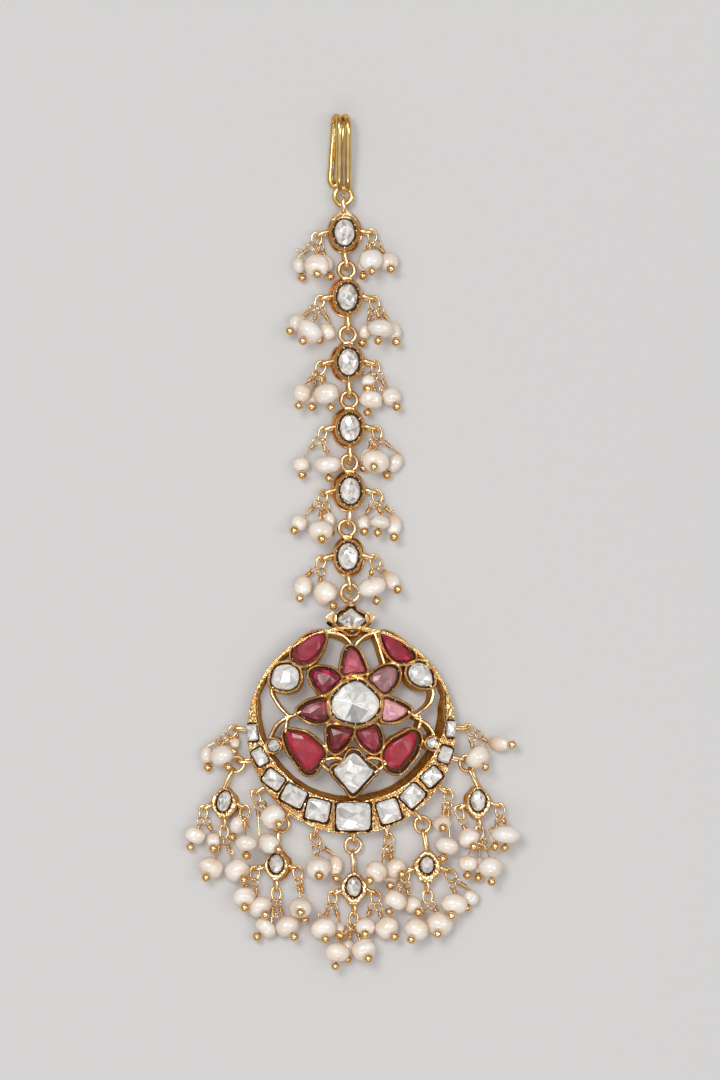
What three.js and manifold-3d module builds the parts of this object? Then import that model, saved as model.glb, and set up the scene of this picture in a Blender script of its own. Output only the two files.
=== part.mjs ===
// Maang tikka: a head ornament of gold, pearls and stones, lying face up.
// Millimetres, +Z up (towards the viewer), +Y towards the hook, +X to the right.
import * as THREE from "three";
import { mergeVertices } from "three/addons/utils/BufferGeometryUtils.js";
import Module from "manifold-3d";

const wasm = await Module();
wasm.setup();

// Driving dimensions.
const WIRE = { hook: 0.46, hookRing: 0.38, link: 0.3, bail: 0.38, eye: 0.27, sideEye: 0.34, jump: 0.18, drop: 0.25, pin: 0.14 }; // wire radii
const BEZEL = 2.2; // height of the link and drop bezels
const MID = 1.2; // height of the eyes and jump rings above the table
const EYE = { radius: 0.68, stem: 0.45 }; // side eye: middle radius of its loop and the stem behind it
const JUMP = { radius: 0.98, hang: 0.38 }; // jump ring of a pearl bunch, and how far its centre hangs below the eye's end
const BALL = 0.62; // ball on the end of a head pin
const GAP = 0.13; // gap round a stone
const PENDANT = {
  x: -0.15, y: -26.9, // middle of the pendant
  rim: 2.8, // height of the crescent's top face at the outer edge
  lift: 1.7, // rise of the dome in the middle
  reach: 15.2, // radius at which the dome starts
  floor: 0.8, // underside of the openwork at the outer edge
  flare: 0.068, // how far the walls pull in towards the middle at their foot
  lean: -0.3, // sideways lean of the walls' foot
  pocket: 1.1, // depth of the stone cells
  wall: 0.42, // wall between a stone's cell and the outside
};
const HOOK = { top: 61.14, foot: 50.95, bend: 1.75, back: 0.5, spread: 1.24, ringY: 49.4, ringX: -1.36 };

const GOLD = new THREE.MeshStandardMaterial({ color: 0xd9a441, roughness: 0.25, metalness: 1 });
const DIAMOND = new THREE.MeshStandardMaterial({ color: 0xe9e6e0, roughness: 0.08, metalness: 0 });
const RUBY = new THREE.MeshStandardMaterial({ color: 0x9c1836, roughness: 0.12, metalness: 0 });
const PEARL = new THREE.MeshStandardMaterial({ color: 0xf0e4d8, roughness: 0.3, metalness: 0 });

const RAD = Math.PI / 180;
const part = new THREE.Group();

// ---- joining and cutting -------------------------------------------------
function solid(geometry) {
  const g = geometry.index ? geometry.toNonIndexed() : geometry.clone();
  for (const name of Object.keys(g.attributes)) if (name !== "position") g.deleteAttribute(name);
  const m = mergeVertices(g, 1e-4);
  return new wasm.Manifold(
    new wasm.Mesh({ numProp: 3, vertProperties: new Float32Array(m.attributes.position.array), triVerts: new Uint32Array(m.index.array) }),
  );
}
function geometryOf(body) {
  const mesh = body.getMesh();
  const g = new THREE.BufferGeometry();
  g.setAttribute("position", new THREE.BufferAttribute(new Float32Array(mesh.vertProperties), 3));
  g.setIndex(new THREE.BufferAttribute(new Uint32Array(mesh.triVerts), 1));
  return g;
}
const join = (bodies) => bodies.reduce((sum, b) => sum.add(b));
// Taken apart and made again, so that the next cut merges the faces that lie in one plane.
const fresh = (body) => solid(geometryOf(body));
function add(name, geometry, material) {
  const drawn = geometry.index ? geometry.toNonIndexed() : geometry;
  drawn.computeVertexNormals();
  const mesh = new THREE.Mesh(drawn, material);
  mesh.name = name;
  part.add(mesh);
}

// ---- plain shapes ----------------------------------------------------------
function torus(radius, wire, at, normal, sides = 4, steps = 8) {
  const g = new THREE.TorusGeometry(radius, wire, sides, steps);
  g.applyQuaternion(new THREE.Quaternion().setFromUnitVectors(new THREE.Vector3(0, 0, 1), new THREE.Vector3(...normal).normalize()));
  return g.translate(...at);
}
function rod(a, b, radius, sides = 5) {
  const from = new THREE.Vector3(...a), to = new THREE.Vector3(...b), along = to.clone().sub(from);
  const g = new THREE.CylinderGeometry(radius, radius, along.length(), sides);
  g.applyQuaternion(new THREE.Quaternion().setFromUnitVectors(new THREE.Vector3(0, 1, 0), along.normalize()));
  return g.translate(...from.add(to).multiplyScalar(0.5).toArray());
}
// Upright plate between two heights over a closed outline.
function plate(points, from, to) {
  return new THREE.ExtrudeGeometry(new THREE.Shape(points.map((p) => new THREE.Vector2(...p))), {
    depth: to - from, bevelEnabled: false, curveSegments: 1,
  }).translate(0, 0, from);
}
// Narrow band of a given width along a smooth line.
function band(line, width, from, to, steps = 6) {
  const curve = new THREE.CatmullRomCurve3(line.map(([x, y]) => new THREE.Vector3(x, y, 0)));
  const left = [], right = [];
  for (let i = 0; i <= steps; i++) {
    const p = curve.getPoint(i / steps), t = curve.getTangent(i / steps);
    left.push([p.x - (t.y * width) / 2, p.y + (t.x * width) / 2]);
    right.unshift([p.x + (t.y * width) / 2, p.y - (t.x * width) / 2]);
  }
  return plate([...right, ...left].reverse(), from, to);
}

// ---- outlines ----------------------------------------------------------------
// Oval, cushion, lozenge or lobed outline: power 2 is an ellipse, 5 a cushion, 1 a lozenge.
function rounded({ x, y, wide, tall, turn = 0, power = 2, lobes = 0, depth = 0 }, grow = 0, count = 14) {
  const points = [];
  for (let i = 0; i < count; i++) {
    const even = ((i + (power < 1.5 ? 0 : 0.5)) / count) * 2 * Math.PI; // a lozenge has its corners on the axes
    const a = power > 4 ? even + 0.25 * Math.sin(4 * even) : even; // a cushion has its points near the corners
    const c = Math.cos(a), s = Math.sin(a);
    const r = (1 + depth * Math.cos(lobes * (a - Math.PI / 2))) / Math.pow(Math.abs(c) ** power + Math.abs(s) ** power, 1 / power);
    const px = (wide / 2 + grow) * r * c, py = (tall / 2 + grow) * r * s;
    const t = turn * RAD;
    points.push([x + px * Math.cos(t) - py * Math.sin(t), y + px * Math.sin(t) + py * Math.cos(t)]);
  }
  return points;
}
// A closed line moved outwards by the same distance on every side, its corners kept from running out into spikes.
function grown(line, by) {
  return line.map(([x, y], i) => {
    const before = line.at(i - 1), after = line[(i + 1) % line.length];
    const side = ([ax, ay], [bx, by_]) => { const l = Math.hypot(bx - ax, by_ - ay); return [(by_ - ay) / l, (ax - bx) / l]; };
    const a = side(before, [x, y]), b = side([x, y], after);
    const m = [a[0] + b[0], a[1] + b[1]], l = Math.hypot(...m), reach = Math.min(1.35, 2 / l);
    return [x + (m[0] / l) * by * reach, y + (m[1] / l) * by * reach];
  });
}
const outline = (row, grow = 0) => (row.line ? grown(row.line, grow) : rounded(row, grow, 8));

// A cut stone: the outline as its girdle, with a bevelled crown and back.
function stone(points, from, to, cut) {
  return new THREE.ExtrudeGeometry(new THREE.Shape(points.map((p) => new THREE.Vector2(...p))), {
    depth: to - from - 2 * cut, bevelEnabled: true, bevelThickness: cut, bevelSize: cut * 1.3, bevelOffset: -cut * 1.3, bevelSegments: 1, curveSegments: 1,
  }).translate(0, 0, from + cut);
}

// ---- hook ----------------------------------------------------------------------
{
  const { top, foot, bend, back, spread, ringX, ringY } = HOOK;
  const frontX = ringX - 0.51, height = back + 2 * bend;
  // One wire: up the front, over the bend, down the back, round a narrow turn, and the same way back.
  const leg = (side) => {
    const dx = side * spread;
    const rows = [
      { x: 0, y: foot - 0.4, z: 1.6 },
      { x: 0, y: foot + 0.9, z: 2.35 },
      { x: 0, y: foot + 3, z: 2.9 },
      { x: 0, y: top - 2.6, z: height - 0.1 },
      { x: -0.1, y: top - 1.0, z: height - 0.45 },
      { x: -0.4, y: top - 0.45, z: back + bend },
      { x: -0.75, y: top - 1.0, z: back + 0.45 },
      { x: -0.87, y: top - 2.6, z: back + 0.04 },
      { x: -1.18, y: foot + 3, z: back },
      { x: -1.28, y: foot + 0.7, z: back },
    ];
    return rows.map(({ x, y, z }) => new THREE.Vector3(frontX + x + dx, y, z));
  };
  const left = leg(0), right = leg(1);
  const turn = new THREE.Vector3(frontX - 1.3 + spread / 2, foot - 0.05, back);
  const route = new THREE.CatmullRomCurve3([...left, turn, ...right.reverse()], false, "centripetal");
  const section = new THREE.Shape();
  section.absarc(0, 0, WIRE.hook, 0, 2 * Math.PI, false);
  const wire = new THREE.ExtrudeGeometry(section, { steps: 42, extrudePath: route, curveSegments: 3, bevelEnabled: false });
  const ring = torus(1.23, WIRE.hookRing, [ringX, ringY, MID + 0.3], [0, 0, 1], 5, 12);
  add("hook", geometryOf(join([solid(wire), solid(ring)])), GOLD);
}

// ---- links ----------------------------------------------------------------------
// Eye: a long loop standing on edge whose near end is buried in the wall. Returns its solid and the middle of the wire at its far end.
function eye(from, bearing, wire = WIRE.eye, radius = EYE.radius, stem = EYE.stem, z = MID, root = 0.2) {
  const u = [Math.cos(bearing * RAD), Math.sin(bearing * RAD)];
  const loop = new THREE.TorusGeometry(radius, wire, 3, 8, 2 * Math.PI);
  const p = loop.attributes.position;
  for (let i = 0; i < p.count; i++) p.setX(i, p.getX(i) + radius + (p.getX(i) > 0.01 ? stem : p.getX(i) < -0.01 ? -root : (stem - root) / 2));
  const basis = new THREE.Matrix4().makeBasis(new THREE.Vector3(u[0], u[1], 0), new THREE.Vector3(0, 0, 1), new THREE.Vector3(u[1], -u[0], 0));
  loop.applyMatrix4(basis.setPosition(from[0], from[1], z));
  return { bodies: [solid(loop)], end: [from[0] + u[0] * (stem + 2 * radius), from[1] + u[1] * (stem + 2 * radius), z] };
}
const LINKS = [
  // x, y: middle of the bezel; wide, tall: its rim; lean: sideways lean of its foot; left, right: bearings of the side eyes
  { x: -1.2, y: 44.2, wide: 4.6, tall: 5.6, lean: 0, left: 200, right: -6, pointed: true },
  { x: -0.75, y: 34.95, wide: 4.4, tall: 5.3, lean: -0.35, left: 193, right: -16 },
  { x: -0.6, y: 25.7, wide: 4.5, tall: 5.3, lean: -0.3, left: 198, right: -17 },
  { x: -0.4, y: 16.3, wide: 4.4, tall: 5.4, lean: -0.35, left: 198, right: -13 },
  { x: -0.35, y: 7.25, wide: 4.4, tall: 5.5, lean: -0.35, left: 199, right: -15 },
  { x: -0.7, y: -2.1, wide: 4.3, tall: 5.5, lean: 0.1, left: 200, right: -14 },
];
const TOP_RING = { radius: 1.2, above: 1.25 }; // ring on top of a bezel and how far its centre stands above the rim
const bunchEyes = {}; // end of the eye that each pearl bunch hangs from
// Leans a geometry sideways, about the bezel's top.
function skew(geometry, lean) {
  return geometry.applyMatrix4(new THREE.Matrix4().set(1, 0, -lean / BEZEL, lean, 0, 1, 0, 0, 0, 0, 1, 0, 0, 0, 0, 1));
}
function bezel(row, lean, stoneRow) {
  return solid(skew(plate(rounded(row, 0, 14), 0, BEZEL), lean)).subtract(solid(skew(plate(rounded(stoneRow, GAP + 0.12, 10), 1.1, BEZEL + 1), lean)));
}
const gemstone = (row, lean, cut) => skew(stone(rounded(row, 0, 10), 1.1 + GAP, BEZEL + 0.15, cut), lean);
LINKS.forEach((link, i) => {
  const { x, y, wide, tall, lean } = link;
  const gem = { x: x + 0.06, y, wide: 2.95, tall: 3.75 };
  const bodies = [bezel(link, lean, gem)];
  const top = y + tall / 2, foot = y - tall / 2;
  if (link.pointed) {
    bodies.push(solid(plate([[x - 1.5, top - 0.9], [x + 1.5, top - 0.9], [x + 0.35, top + 0.75], [x - 0.35, top + 0.75]], 0, BEZEL)));
    bodies.push(...eye([x, top + 0.05], 90, WIRE.bail, 1.0, 0.4, MID + 0.3).bodies);
  } else bodies.push(solid(torus(TOP_RING.radius, WIRE.link, [x - 0.1, top + TOP_RING.above, MID + 0.15], [0, 0, 1], 4, 11)));
  const next = LINKS[i + 1];
  const goal = next ? [next.x - 0.1, next.y + next.tall / 2 + TOP_RING.above] : [-0.36, -7.33];
  const bearing = Math.atan2(goal[1] - foot, goal[0] - x) / RAD;
  bodies.push(...eye([x, foot + 0.1], bearing, WIRE.bail, 0.97, 0.5, MID + 0.15).bodies);
  for (const [side, sign] of [["left", -1], ["right", 1]]) {
    const e = eye([x + sign * (wide / 2 - 0.1), y + 0.1], link[side], WIRE.sideEye);
    bodies.push(...e.bodies);
    bunchEyes[`link_pearls_${i + 1}_${side}`] = e.end;
  }
  add(`link_${i + 1}`, geometryOf(join(bodies)), GOLD);
  add(`link_stone_${i + 1}`, gemstone(gem, lean, 0.28), DIAMOND);
});

// ---- pendant ----------------------------------------------------------------------
// The frame is laid out flat and then domed: h is the height over the flat back.
function dome(geometry) {
  const p = geometry.attributes.position;
  const { x: cx, y: cy, rim, lift, reach, flare, lean } = PENDANT;
  for (let i = 0; i < p.count; i++) {
    const x = p.getX(i), y = p.getY(i), h = p.getZ(i);
    const share = Math.min(1, ((x - cx) ** 2 + (y - cy) ** 2) / reach ** 2);
    const deep = Math.max(0, (rim - h) / rim);
    p.setXYZ(i, cx + (x - cx) * (1 - flare * deep) + lean * deep, cy + (y - cy) * (1 - flare * deep), h < 0.01 ? 0 : h + lift * (1 - share));
  }
  return geometry;
}
const STONES = [
  // line: the girdle, anticlockwise; edge: dark margin between the stone and its wall; cut: depth of its bevels
  { name: "petal_top", edge: 0.25, cut: 0.32, kind: RUBY, line: [[-0.6, -15.46], [-0.93, -16.32], [-1.17, -17.46], [-1.21, -18.75], [-0.21, -18.46], [0.79, -18.51], [1.79, -18.46], [1.57, -17.61], [1.14, -16.61], [0.57, -15.54], [-0.11, -15.18]] },
  { name: "petal_upper_right", edge: 0.2, cut: 0.32, kind: RUBY, line: [[3.36, -20.46], [4.29, -21.39], [4.93, -21.39], [5.79, -20.61], [6.36, -19.46], [6.4, -18.32], [5.64, -17.75], [4.36, -17.96], [3.21, -18.61], [2.43, -19.61]] },
  { name: "petal_right", edge: 0.22, cut: 0.32, kind: RUBY, line: [[4.54, -23.89], [4.43, -25.39], [5.93, -25.44], [7.21, -24.89], [8.0, -24.11], [7.43, -23.54], [6.5, -23.04], [5.5, -22.61], [4.57, -22.46]] },
  { name: "petal_lower_right", edge: 0.22, cut: 0.32, kind: RUBY, line: [[0.87, -27.82], [1.47, -28.79], [2.59, -29.75], [3.36, -29.82], [3.84, -29.12], [3.84, -27.69], [3.21, -26.42], [2.41, -26.58], [0.76, -27.04]] },
  { name: "petal_lower_left", edge: 0.2, cut: 0.32, kind: RUBY, line: [[-3.37, -28.01], [-3.21, -29.28], [-2.5, -29.89], [-1.7, -29.59], [-0.76, -28.64], [-0.27, -27.69], [-0.11, -26.74], [-2.03, -26.42], [-3.3, -26.58]] },
  { name: "petal_left", edge: 0.2, cut: 0.32, kind: RUBY, line: [[-6.47, -25.15], [-4.89, -25.65], [-3.57, -25.15], [-3.69, -23.89], [-3.84, -22.61], [-4.89, -22.55], [-6.79, -23.26], [-7.64, -24.28]] },
  { name: "petal_upper_left", edge: 0.2, cut: 0.32, kind: RUBY, line: [[-5.86, -19.44], [-5.36, -20.38], [-4.56, -21.39], [-3.61, -21.18], [-2.66, -20.38], [-1.87, -19.51], [-2.5, -18.64], [-3.61, -18.08], [-5.04, -18.08], [-5.96, -18.64]] },
  { name: "leaf_upper_left", edge: 0.3, cut: 0.32, kind: RUBY, line: [[-5.5, -13.18], [-6.86, -13.96], [-8.14, -15.32], [-8.29, -16.61], [-7.21, -17.26], [-6.07, -17.04], [-5.07, -16.18], [-4.14, -14.32], [-4.31, -13.04]] },
  { name: "leaf_upper_right", edge: 0.3, cut: 0.32, kind: RUBY, line: [[4.79, -15.11], [5.61, -16.39], [6.86, -17.08], [8.57, -16.54], [7.69, -15.15], [6.03, -13.71], [4.29, -13.04]] },
  { name: "leaf_lower_left", edge: 0.38, cut: 0.32, kind: RUBY, line: [[-9.43, -28.25], [-8.9, -29.68], [-7.93, -31.04], [-6.87, -32.46], [-5.86, -32.72], [-4.93, -31.46], [-4.24, -30.22], [-4.59, -29.21], [-5.64, -28.25], [-6.87, -27.46], [-8.5, -27.11], [-9.57, -27.11]] },
  { name: "leaf_lower_right", edge: 0.42, cut: 0.32, kind: RUBY, line: [[7.19, -27.75], [5.76, -28.56], [4.79, -29.66], [4.64, -30.94], [5.27, -32.21], [6.39, -32.45], [7.03, -32.04], [8.46, -30.31], [9.24, -28.41], [9.07, -27.36], [8.3, -27.14]] },
  { name: "pear_left", edge: 0.2, cut: 0.32, kind: DIAMOND, line: [[-11.6, -19.28], [-11.5, -20.46], [-10.64, -20.94], [-9.24, -21.14], [-8.07, -20.61], [-7.64, -19.46], [-7.93, -18.15], [-9.24, -17.42], [-10.93, -17.84]] },
  { name: "pear_right", edge: 0.25, cut: 0.32, kind: DIAMOND, line: [[8.43, -17.68], [8.07, -18.68], [8.64, -19.89], [9.86, -20.55], [11.31, -20.52], [11.53, -19.69], [11.26, -18.46], [10.57, -17.49], [9.34, -17.22]] },
  { name: "center_stone", edge: 0.22, cut: 0.5, kind: DIAMOND, line: [[-0.57, -20.06], [-1.7, -20.86], [-2.81, -22.11], [-3.1, -23.56], [-2.5, -24.84], [-1.07, -25.61], [0.83, -25.94], [2.41, -25.46], [3.53, -24.51], [3.99, -23.24], [3.53, -21.98], [2.59, -21.02], [1.47, -20.04], [0.5, -19.75]] },
  { name: "lozenge_bottom", edge: 0.3, cut: 0.5, kind: DIAMOND, line: [[-2.5, -33.18], [-1.79, -34.04], [-0.79, -35.04], [-0.07, -36.04], [0.61, -35.75], [1.64, -34.46], [2.5, -33.54], [3.21, -32.75], [2.29, -32.04], [1.5, -31.39], [0.93, -30.54], [0.21, -30.11], [-0.43, -30.39], [-0.93, -31.32], [-1.64, -32.11], [-2.74, -32.54]] },
  { name: "lozenge_top", edge: 0.42, cut: 0.32, kind: DIAMOND, line: [[-0.86, -9.96], [-1.5, -10.32], [-2.07, -11.04], [-1.5, -11.75], [-0.71, -12.32], [0.0, -12.82], [0.5, -12.46], [1.07, -11.75], [2.0, -11.04], [1.07, -10.46], [0.43, -10.04], [-0.14, -9.39]] },
  { name: "round_left", edge: 0.1, cut: 0.22, kind: DIAMOND, x: -11.25, y: -29.1, wide: 1.7, tall: 1.7 },
  { name: "round_right", edge: 0.1, cut: 0.22, kind: DIAMOND, x: 11.45, y: -28.75, wide: 1.6, tall: 1.6 },
];
const CRESCENT_STONES = [
  { x: -14.43, y: -27.25, wide: 1.65, tall: 2.4, turn: 6 },
  { x: -13.29, y: -30.75, wide: 1.75, tall: 2.5, turn: 33 },
  { x: -11.29, y: -33.9, wide: 2.55, tall: 1.95, turn: -36 },
  { x: -8.36, y: -36.25, wide: 3.0, tall: 2.5, turn: -28 },
  { x: -4.93, y: -38.32, wide: 3.15, tall: 2.85, turn: -12 },
  { x: 0.14, y: -39.3, wide: 4.85, tall: 3.85, turn: 0 },
  { x: 5.2, y: -38.5, wide: 2.85, tall: 3.1, turn: 18 },
  { x: 8.64, y: -36.25, wide: 2.85, tall: 2.3, turn: 46 },
  { x: 11.36, y: -33.54, wide: 2.5, tall: 1.95, turn: 41 },
  { x: 13.36, y: -30.4, wide: 1.75, tall: 2.3, turn: -18 },
  { x: 14.2, y: -26.75, wide: 1.3, tall: 2.3, turn: -3 },
];
const STRIPS = [
  // openwork between the cells: points along each strip
  [[0.04, -14.75], [-0.99, -13.62], [-2.14, -13.05], [-3.7, -12.85]],
  [[0.4, -14.7], [1.49, -13.58], [2.73, -13.05], [4.0, -12.8]],
  [[-9.2, -24.9], [-9.5, -25.9], [-9.6, -27.2]],
  [[9.7, -24.8], [9.75, -25.8], [9.3, -27.0]],
  [[3.0, -12.5], [3.7, -14.4], [4.6, -17.4]],
  [[-11.8, -21.4], [-10.4, -23.6], [-9.0, -25.0]],
  [[11.7, -21.2], [11.0, -23.2], [8.8, -24.9]],
  [[-8.9, -24.9], [-10.7, -25.9], [-11.9, -28.0]],
  [[8.9, -25.0], [10.8, -26.1], [12.0, -28.2]],
  [[-12.3, -29.3], [-12.9, -30.0], [-13.4, -30.6]],
  [[11.9, -29.2], [12.6, -29.9], [13.2, -30.5]],
  [[-9.6, -25.0], [-8.6, -24.8], [-7.4, -24.2]],
  [[9.4, -24.9], [8.8, -24.7], [8.0, -24.2]],
  [[-4.4, -31.4], [-3.6, -31.0], [-2.6, -30.8]],
  [[4.7, -31.4], [3.8, -31.0], [2.9, -30.8]],
  [[-4.6, -31.6], [-3.7, -32.4], [-2.9, -33.0]],
  [[4.9, -31.6], [4.0, -32.4], [3.2, -33.0]],
];
const TIPS = [
  // corners of the points beside the top lozenge
  [[-3.5, -10.85], [-2.3, -11.3], [-2.3, -10.4]],
  [[2.85, -10.75], [1.9, -10.4], [1.9, -11.3]],
];
const FRAME_EYES = [
  // x, y: where the stem leaves the crescent; turn: its bearing; drop: the drop or the bunch that hangs there
  { x: -15.45, y: -26.8, turn: 178, hangs: "crescent_pearls_1" },
  { x: -14.9, y: -31.3, turn: 184, hangs: "drop_1" },
  { x: -12.7, y: -35.3, turn: 212, hangs: "crescent_pearls_2" },
  { x: -9.1, y: -38.8, turn: 228, hangs: "drop_2" },
  { x: -5.1, y: -40.8, turn: 255, hangs: "crescent_pearls_3" },
  { x: 0.05, y: -41.4, turn: 270, hangs: "drop_3" },
  { x: 4.8, y: -40.8, turn: 284, hangs: "crescent_pearls_4" },
  { x: 8.9, y: -38.8, turn: 310, hangs: "drop_4" },
  { x: 12.5, y: -35.1, turn: 325, hangs: "crescent_pearls_5" },
  { x: 14.7, y: -31.0, turn: 350, hangs: "drop_5" },
  { x: 15.1, y: -26.6, turn: 0, hangs: "crescent_pearls_6" },
];
const CRESCENT = { outer: 14.95, inner: 13.5, innerY: -23.45, band: 0.6 };
const hangers = {};
{
  const { x: cx, y: cy, rim, floor, pocket, wall } = PENDANT;
  const circle = (x, y, r, n) => rounded({ x, y, wide: 2 * r, tall: 2 * r }, 0, n);
  const crescent = solid(plate(circle(cx, cy, CRESCENT.outer, 36), 0, rim)).subtract(solid(plate(circle(cx, CRESCENT.innerY, CRESCENT.inner, 30), -1, rim + 1)));
  const edge = solid(plate(circle(cx, cy, CRESCENT.outer, 36), floor, rim)).subtract(solid(plate(circle(cx, cy, CRESCENT.outer - CRESCENT.band, 36), -1, rim + 1)));
  const cells = STONES.map((s) => solid(plate(outline(s, s.edge + wall), floor, rim)));
  const crescentCells = CRESCENT_STONES.map((s) => solid(plate(rounded({ ...s, power: 7 }, 0.58, 8), 0, rim)));
  const tips = TIPS.map((line) => solid(plate(line, floor, rim - 0.1)));
  const strips = STRIPS.map((line) => solid(band(line, 0.55, floor, rim - 0.2, 4)));
  const bodies = [crescent, edge, ...crescentCells, ...cells, ...tips, ...strips];
  let frame = fresh(join(bodies));
  for (const s of STONES) frame = frame.subtract(solid(plate(outline(s, s.edge), rim - pocket, rim + 1)));
  frame = fresh(frame);
  for (const s of CRESCENT_STONES) frame = frame.subtract(solid(plate(rounded({ ...s, power: 7 }, 0.14, 8), rim - 0.8, rim + 1)));
  const domed = solid(dome(geometryOf(frame)));
  const trim = [solid(torus(1.27, 0.3, [-0.36, -7.33, MID + 0.3], [0, 0, 1], 4, 12)), solid(rod([-0.36, -8.3, MID + 0.3], [-0.3, -9.05, 1.9], 0.45, 6))];
  for (const e of FRAME_EYES) {
    const drop = e.hangs.startsWith("drop");
    const made = eye([e.x, e.y], e.turn, drop ? 0.3 : WIRE.eye, drop ? 0.72 : EYE.radius, 0.15, MID, 1.0);
    trim.push(...made.bodies);
    hangers[e.hangs] = made.end;
    if (!drop) bunchEyes[e.hangs] = made.end;
  }
  add("pendant_frame", geometryOf(join([domed, ...trim])), GOLD);
  for (const s of STONES) add(s.name, dome(stone(outline(s, s.edge - GAP - 0.02), rim - pocket + GAP, rim + 0.25, s.cut)), s.kind);
}

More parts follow.
